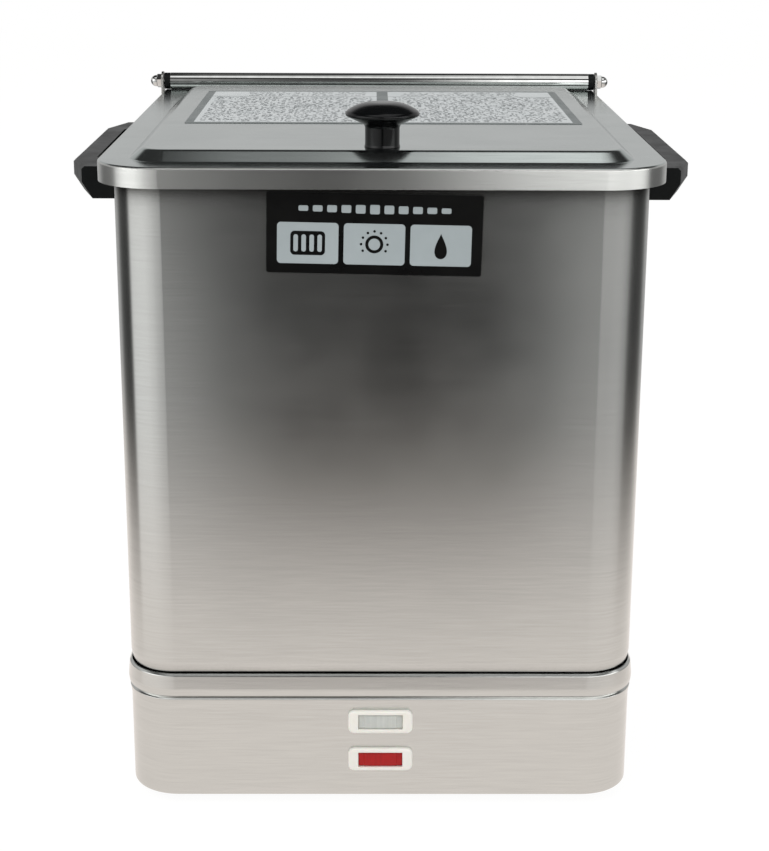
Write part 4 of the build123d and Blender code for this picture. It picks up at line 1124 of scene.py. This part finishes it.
# Body, finish and edge rounding in mm of the pieces whose solids already have their full shape
ROUNDED = {
    "bottom_plate": ("housing", "mill", 0.2), "feet": ("housing", "rubber", 0.5),
    "element_fittings": ("housing", "brass", 0.3), "element_nuts": ("housing", "brass", 0.2),
    "phial_gland": ("housing", "brass", 0.3), "cord_gland": ("housing", "phenolic", 0.3),
    "thermostat_body": ("housing", "phenolic", 0.3), "thermostat_bracket": ("housing", "mill", 0.2),
    "thermostat_dial": ("thermostat_dial", "knob", 0.3), "knob_washer": ("lid", "polished", 0.2),
    "knob_screw": ("lid", "polished", 0.3), "handle_washers": ("housing", "polished", 0.2),
    "foot_screws": ("housing", "polished", 0.3),
}
# Solids that stay as they are and get a finish alone
FINISHED_ONLY = {
    "hinge_rod": "polished", "heating_element": "sheath", "element_gaskets": "rubber",
    "thermostat_phial": "polished", "limit_thermostat": "phenolic", "terminal_block": "ceramic",
    "terminal_screws": "polished", "earth_stud": "brass", "earth_nut": "brass",
    "power_lamp": "phenolic", "heat_lamp": "phenolic",
}


class HEATER_OT_fittings(Operator):
    """Fittings: the smaller pieces, with soft edges and their finishes"""

    bl_idname = "heater.fittings"
    bl_label = "Fittings"

    def execute(self, context):
        for node, (body, finish, bevel) in ROUNDED.items():
            make_piece(merged_copy(node), f"{node}_finished", body, node, finish,
                       bevel * MM)
        for node, finish in FINISHED_ONLY.items():
            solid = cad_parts[node]
            solid.data.materials.clear()
            solid.data.materials.append(finishes[finish])
        return {"FINISHED"}


# ------------------------------------------------------------------ stage
# The room that metal reflects is made up, with levels tuned until the sheet was as bright
# as it is in the view. They go round the compass, in degrees from straight ahead of the heater,
# left negative. At eye height and below: dark ahead, a soft box far to the left, a weaker one to
# the right, a pale wall behind
ROOM_LOW = (
    (-180, 0.52), (-145, 0.46), (-118, 0.10), (-100, 0.06), (-93, 0.14), (-86, 0.72), (-78, 0.92),
    (-56, 0.94), (-38, 0.86), (-20, 0.66), (-9, 0.55), (-7, 0.53), (-5.9, 0.37), (-5, 0.18),
    (-4, 0.07), (-3, 0.035), (-1.5, 0.018), (2.5, 0.012), (3.8, 0.02), (4.9, 0.06), (5.8, 0.20),
    (6.5, 0.36), (7.2, 0.45), (27, 0.46), (50, 0.50), (62, 0.44), (75, 0.30), (86, 0.08),
    (100, 0.06), (118, 0.10), (145, 0.46), (180, 0.52),
)
# Above it: a soft box to the left, a strong one ahead on the right, a pale wall behind
ROOM_HIGH = (
    (-180, 0.60), (-125, 0.57), (-100, 0.70), (-80, 1.50), (-60, 2.30), (-42, 1.80), (-28, 1.10),
    (-9, 0.55), (-6, 0.38), (-4, 0.22), (-2, 0.11), (-0.5, 0.09), (1.5, 0.20), (2.5, 0.52),
    (3.5, 1.25), (4.5, 1.80), (6, 2.20), (9, 2.30), (40, 2.20), (70, 2.60), (88, 1.30), (100, 0.50),
    (125, 0.55), (180, 0.60),
)
HORIZON = (-0.01, 0.09)        # height of a direction where the low room gives way to the high
CEILING = (0.42, 0.60)         # and where the high room gives way to the ceiling
CEILING_LEVEL = 0.04
FAR_FLOOR = (-0.215, -0.150)   # and where the floor ahead is so far off that it is dark
STRAIGHT_AHEAD = (8.8, 5.8)    # degrees to a side between which the dark floor begins
FAR_FLOOR_LEVEL = 0.02
# Ceiling lamp over the heater: its levels from left to right, and where it begins
TOP_LAMP = (
    (-0.3, 0.04), (-0.109, 0.04), (-0.093, 0.24), (-0.076, 0.35), (-0.033, 0.37), (-0.012, 0.50),
    (0.032, 0.80), (0.074, 1.14), (0.10, 1.24), (0.14, 1.10), (0.3, 1.0),
)
TOP_LAMP_ALONG = (0.28, 0.10)
TOP_LAMP_HEIGHT = (0.75, 0.85)
# Soft box high in front of the heater
FRONT_LAMP_NEAR = (-0.18, -0.28)
FRONT_LAMP_FAR = (-0.68, -0.56)
FRONT_LAMP_HEIGHT = (0.70, 0.82)
FRONT_LAMP_LEVEL = 1.30
AMBIENT = 0.62                 # level of the surround that lights dull surfaces
FLOOR_HALF = 6.0
FOOTPRINT = (0.157, 0.199, 1.0)     # about the tank's reach to each side and the front; any height
PAPER_FADE = (0.92, 0.12)      # metres from the tank between which the paper shows in metal
PAPER_LEVEL = 1.00             # and how bright it is there
PAPER_WHITE = 1.07             # level of the paper to the eye, where no shadow falls
FLOOR_SHADOW = 0.12            # share of the lit paper, with its shadow, that the eye sees
LAMPS = (
    ("key lamp", (-1.3, -1.6, 2.0), (1.2, 1.2), 22.0),
    ("fill lamp", (1.7, -1.2, 1.3), (1.0, 1.4), 9.0),
    ("top lamp", (0.1, 0.4, 2.4), (1.6, 1.2), 12.0),
)
LAMP_COLOUR = (1.0, 0.995, 0.985)
LAMP_TARGET = Vector((0, 0, 0.2))
LENS = 77.16
CAMERA_PLACE = (-0.0070, -1.2342, 0.5587)
CAMERA_TURNS = ((-0.483, "Z"), (90 - 16.58, "X"), (0.25, "Z"))


def level_curve(tree, value, table):
    """Level read off a curve through a table of places and levels."""
    low, high = table[0][0], table[-1][0]
    top = max(level for _, level in table)
    place = add_node(tree, "ShaderNodeMapRange", {
        "Value": value, "From Min": low, "From Max": high})
    curve = add_node(tree, "ShaderNodeFloatCurve", {"Value": place})
    points = curve.mapping.curves[0].points
    while len(points) < len(table):
        points.new(0.5, 0.5)
    for point, (where, level) in zip(points, table):
        point.location = ((where - low) / (high - low), level / top)
        point.handle_type = "AUTO_CLAMPED"
    curve.mapping.update()
    return add_node(tree, "ShaderNodeMath", {0: curve, 1: top}, operation="MULTIPLY")


def crossed(tree, *bands):
    """How far each value has crossed its band, smoothly from 0 to 1, multiplied together."""
    share = 1.0
    for value, (start, end) in bands:
        step = add_node(tree, "ShaderNodeMapRange", {
            "Value": value, "From Min": start, "From Max": end}, interpolation_type="SMOOTHSTEP")
        share = add_node(tree, "ShaderNodeMath", {0: share, 1: step}, operation="MULTIPLY")
    return share


def compass(tree, parts):
    """Direction's place on the compass in degrees, from straight ahead of the heater."""
    ahead = add_node(tree, "ShaderNodeMath", {0: parts["Y"], 1: -1.0}, operation="MULTIPLY")
    angle = add_node(tree, "ShaderNodeMath", {0: parts["X"], 1: ahead}, operation="ARCTAN2")
    return add_node(tree, "ShaderNodeMath", {0: angle}, operation="DEGREES")


class HEATER_OT_stage(Operator):
    """Stage: pale floor and surround, soft lamps and the camera"""

    bl_idname = "heater.stage"
    bl_label = "Stage"

    def execute(self, context):
        self.floor()
        self.surround()
        self.lamps()
        self.camera()
        bpy.context.scene.view_settings.view_transform = "Standard"
        return {"FINISHED"}

    def floor(self):
        form = bmesh.new()
        bmesh.ops.create_grid(form, x_segments=1, y_segments=1, size=FLOOR_HALF)
        mesh = bpy.data.meshes.new("floor")
        form.to_mesh(mesh)
        form.free()
        mesh.materials.append(self.paper())
        floor = bpy.data.objects.new("floor", mesh)
        bpy.context.scene.collection.objects.link(floor)

    def paper(self):
        """White paper; to metal it ends near the heater, and the low room lies beyond"""
        material = bpy.data.materials.new("white paper floor")
        material.use_nodes = True
        tree = material.node_tree
        tree.nodes.remove(tree.nodes["Principled BSDF"])
        # Distance from the tank's footprint
        place = add_node(tree, "ShaderNodeTexCoord").outputs["Object"]
        beyond = add_node(tree, "ShaderNodeVectorMath", {0: place}, operation="ABSOLUTE")
        beyond = add_node(tree, "ShaderNodeVectorMath", {0: beyond, 1: FOOTPRINT},
                          operation="SUBTRACT")
        beyond = add_node(tree, "ShaderNodeVectorMath", {0: beyond, 1: (0.0, 0.0, 0.0)},
                          operation="MAXIMUM")
        away = add_node(tree, "ShaderNodeVectorMath", {0: beyond}, operation="LENGTH")
        near = crossed(tree, (away, PAPER_FADE))
        # What metal sees, what the eye sees, and what every other ray finds
        clear = add_node(tree, "ShaderNodeBsdfTransparent")
        bright = add_node(tree, "ShaderNodeEmission", {
            "Color": linear("FFF7F2"), "Strength": PAPER_LEVEL})
        reflected = add_node(tree, "ShaderNodeMixShader", {0: near, 1: clear, 2: bright})
        lit = add_node(tree, "ShaderNodeBsdfDiffuse", {"Color": linear("E4E3E0")})
        white = add_node(tree, "ShaderNodeEmission", {
            "Color": linear("FFFFFF"), "Strength": PAPER_WHITE})
        seen = add_node(tree, "ShaderNodeMixShader", {0: FLOOR_SHADOW, 1: white, 2: lit})
        path = add_node(tree, "ShaderNodeLightPath").outputs
        whole = add_node(tree, "ShaderNodeMixShader", {0: path["Is Camera Ray"], 1: lit, 2: seen})
        mirrored = add_node(tree, "ShaderNodeMath", {
            0: path["Is Glossy Ray"], 1: path["Is Transmission Ray"]}, operation="MAXIMUM")
        whole = add_node(tree, "ShaderNodeMixShader", {0: mirrored, 1: whole, 2: reflected})
        feed(tree, tree.nodes["Material Output"], {"Surface": whole})
        return material

    def surround(self):
        """Surround: white to the eye; to metal, a dim room with soft boxes and a pale back"""
        world = bpy.data.worlds.new("studio surround")
        bpy.context.scene.world = world
        world.use_nodes = True
        tree = world.node_tree
        tree.nodes.clear()
        way = add_node(tree, "ShaderNodeTexCoord").outputs["Generated"]
        parts = add_node(tree, "ShaderNodeSeparateXYZ", {"Vector": way}).outputs
        bearing = compass(tree, parts)
        aside = add_node(tree, "ShaderNodeMath", {0: bearing}, operation="ABSOLUTE")
        over = add_node(tree, "ShaderNodeMath", {0: parts["Y"]}, operation="ABSOLUTE")
        level = level_curve(tree, bearing, ROOM_LOW)
        # Each later level takes the place of the one before where all its bands are crossed
        for beyond, bands in (
                (FAR_FLOOR_LEVEL, [(parts["Z"], FAR_FLOOR), (aside, STRAIGHT_AHEAD)]),
                (level_curve(tree, bearing, ROOM_HIGH), [(parts["Z"], HORIZON)]),
                (CEILING_LEVEL, [(parts["Z"], CEILING)]),
                (level_curve(tree, parts["X"], TOP_LAMP),
                 [(over, TOP_LAMP_ALONG), (parts["Z"], TOP_LAMP_HEIGHT)]),
                (FRONT_LAMP_LEVEL, [(parts["Y"], FRONT_LAMP_NEAR), (parts["Y"], FRONT_LAMP_FAR),
                                    (parts["Z"], FRONT_LAMP_HEIGHT)])):
            level = add_node(tree, "ShaderNodeMix", {
                "Factor": crossed(tree, *bands), "A": level, "B": beyond})
        path = add_node(tree, "ShaderNodeLightPath").outputs
        light = AMBIENT
        for ray, found in (("Is Glossy Ray", level), ("Is Camera Ray", 1.0),
                           ("Is Transmission Ray", 1.0)):
            light = add_node(tree, "ShaderNodeMix", {"Factor": path[ray], "A": light, "B": found})
        sky = add_node(tree, "ShaderNodeBackground", {"Color": linear("FFFFFF"), "Strength": light})
        add_node(tree, "ShaderNodeOutputWorld", {"Surface": sky})

    def lamps(self):
        for name, place, side, power in LAMPS:
            data = bpy.data.lights.new(name, "AREA")
            data.shape = "RECTANGLE"
            data.size, data.size_y = side
            data.energy = power
            data.color = LAMP_COLOUR
            lamp = bpy.data.objects.new(name, data)
            lamp.location = place
            lamp.rotation_euler = (LAMP_TARGET - Vector(place)).to_track_quat("-Z", "Y").to_euler()
            lamp.visible_glossy = False
            bpy.context.scene.collection.objects.link(lamp)

    def camera(self):
        data = bpy.data.cameras.new("camera")
        data.lens = LENS
        data.sensor_width = 36.0
        data.clip_start = 0.05
        camera = bpy.data.objects.new("camera", data)
        camera.location = CAMERA_PLACE
        turn = Matrix.Identity(4)
        for degrees, axis in CAMERA_TURNS:
            turn = turn @ Matrix.Rotation(radians(degrees), 4, axis)
        camera.rotation_euler = turn.to_euler()
        bpy.context.scene.collection.objects.link(camera)
        bpy.context.scene.camera = camera


# ------------------------------------------------------------------ panel and running
PIECES = (
    HEATER_OT_tank, HEATER_OT_base, HEATER_OT_lid, HEATER_OT_knob, HEATER_OT_handles,
    HEATER_OT_hinge, HEATER_OT_front_label, HEATER_OT_lid_label, HEATER_OT_lamps,
    HEATER_OT_rack, HEATER_OT_fasteners, HEATER_OT_fittings, HEATER_OT_stage,
)


class HEATER_PT_sidebar(Panel):
    """Lists the sizes, the colours and every piece's operator"""

    bl_idname = "HEATER_PT_sidebar"
    bl_label = "Hot Pack Heater"
    bl_space_type = "VIEW_3D"
    bl_region_type = "UI"
    bl_category = "Heater"

    def draw(self, context):
        for settings in (context.scene.heater_sizes, context.scene.heater_colours):
            box = self.layout.box()
            for name in settings.__annotations__:
                box.prop(settings, name)
        for piece in PIECES:
            self.layout.operator(piece.bl_idname)


CLASSES = (HeaterSizes, HeaterColours, *PIECES, HEATER_PT_sidebar)


def register():
    for kind in CLASSES:
        bpy.utils.register_class(kind)
    bpy.types.Scene.heater_sizes = PointerProperty(type=HeaterSizes)
    bpy.types.Scene.heater_colours = PointerProperty(type=HeaterColours)


def unregister():
    del bpy.types.Scene.heater_sizes, bpy.types.Scene.heater_colours
    for kind in reversed(CLASSES):
        bpy.utils.unregister_class(kind)


def main():
    register()
    make_finishes()
    for piece in PIECES:
        group, name = piece.bl_idname.split(".")
        getattr(getattr(bpy.ops, group), name)()
    bpy.context.view_layer.update()


if __name__ == "__main__":
    main()
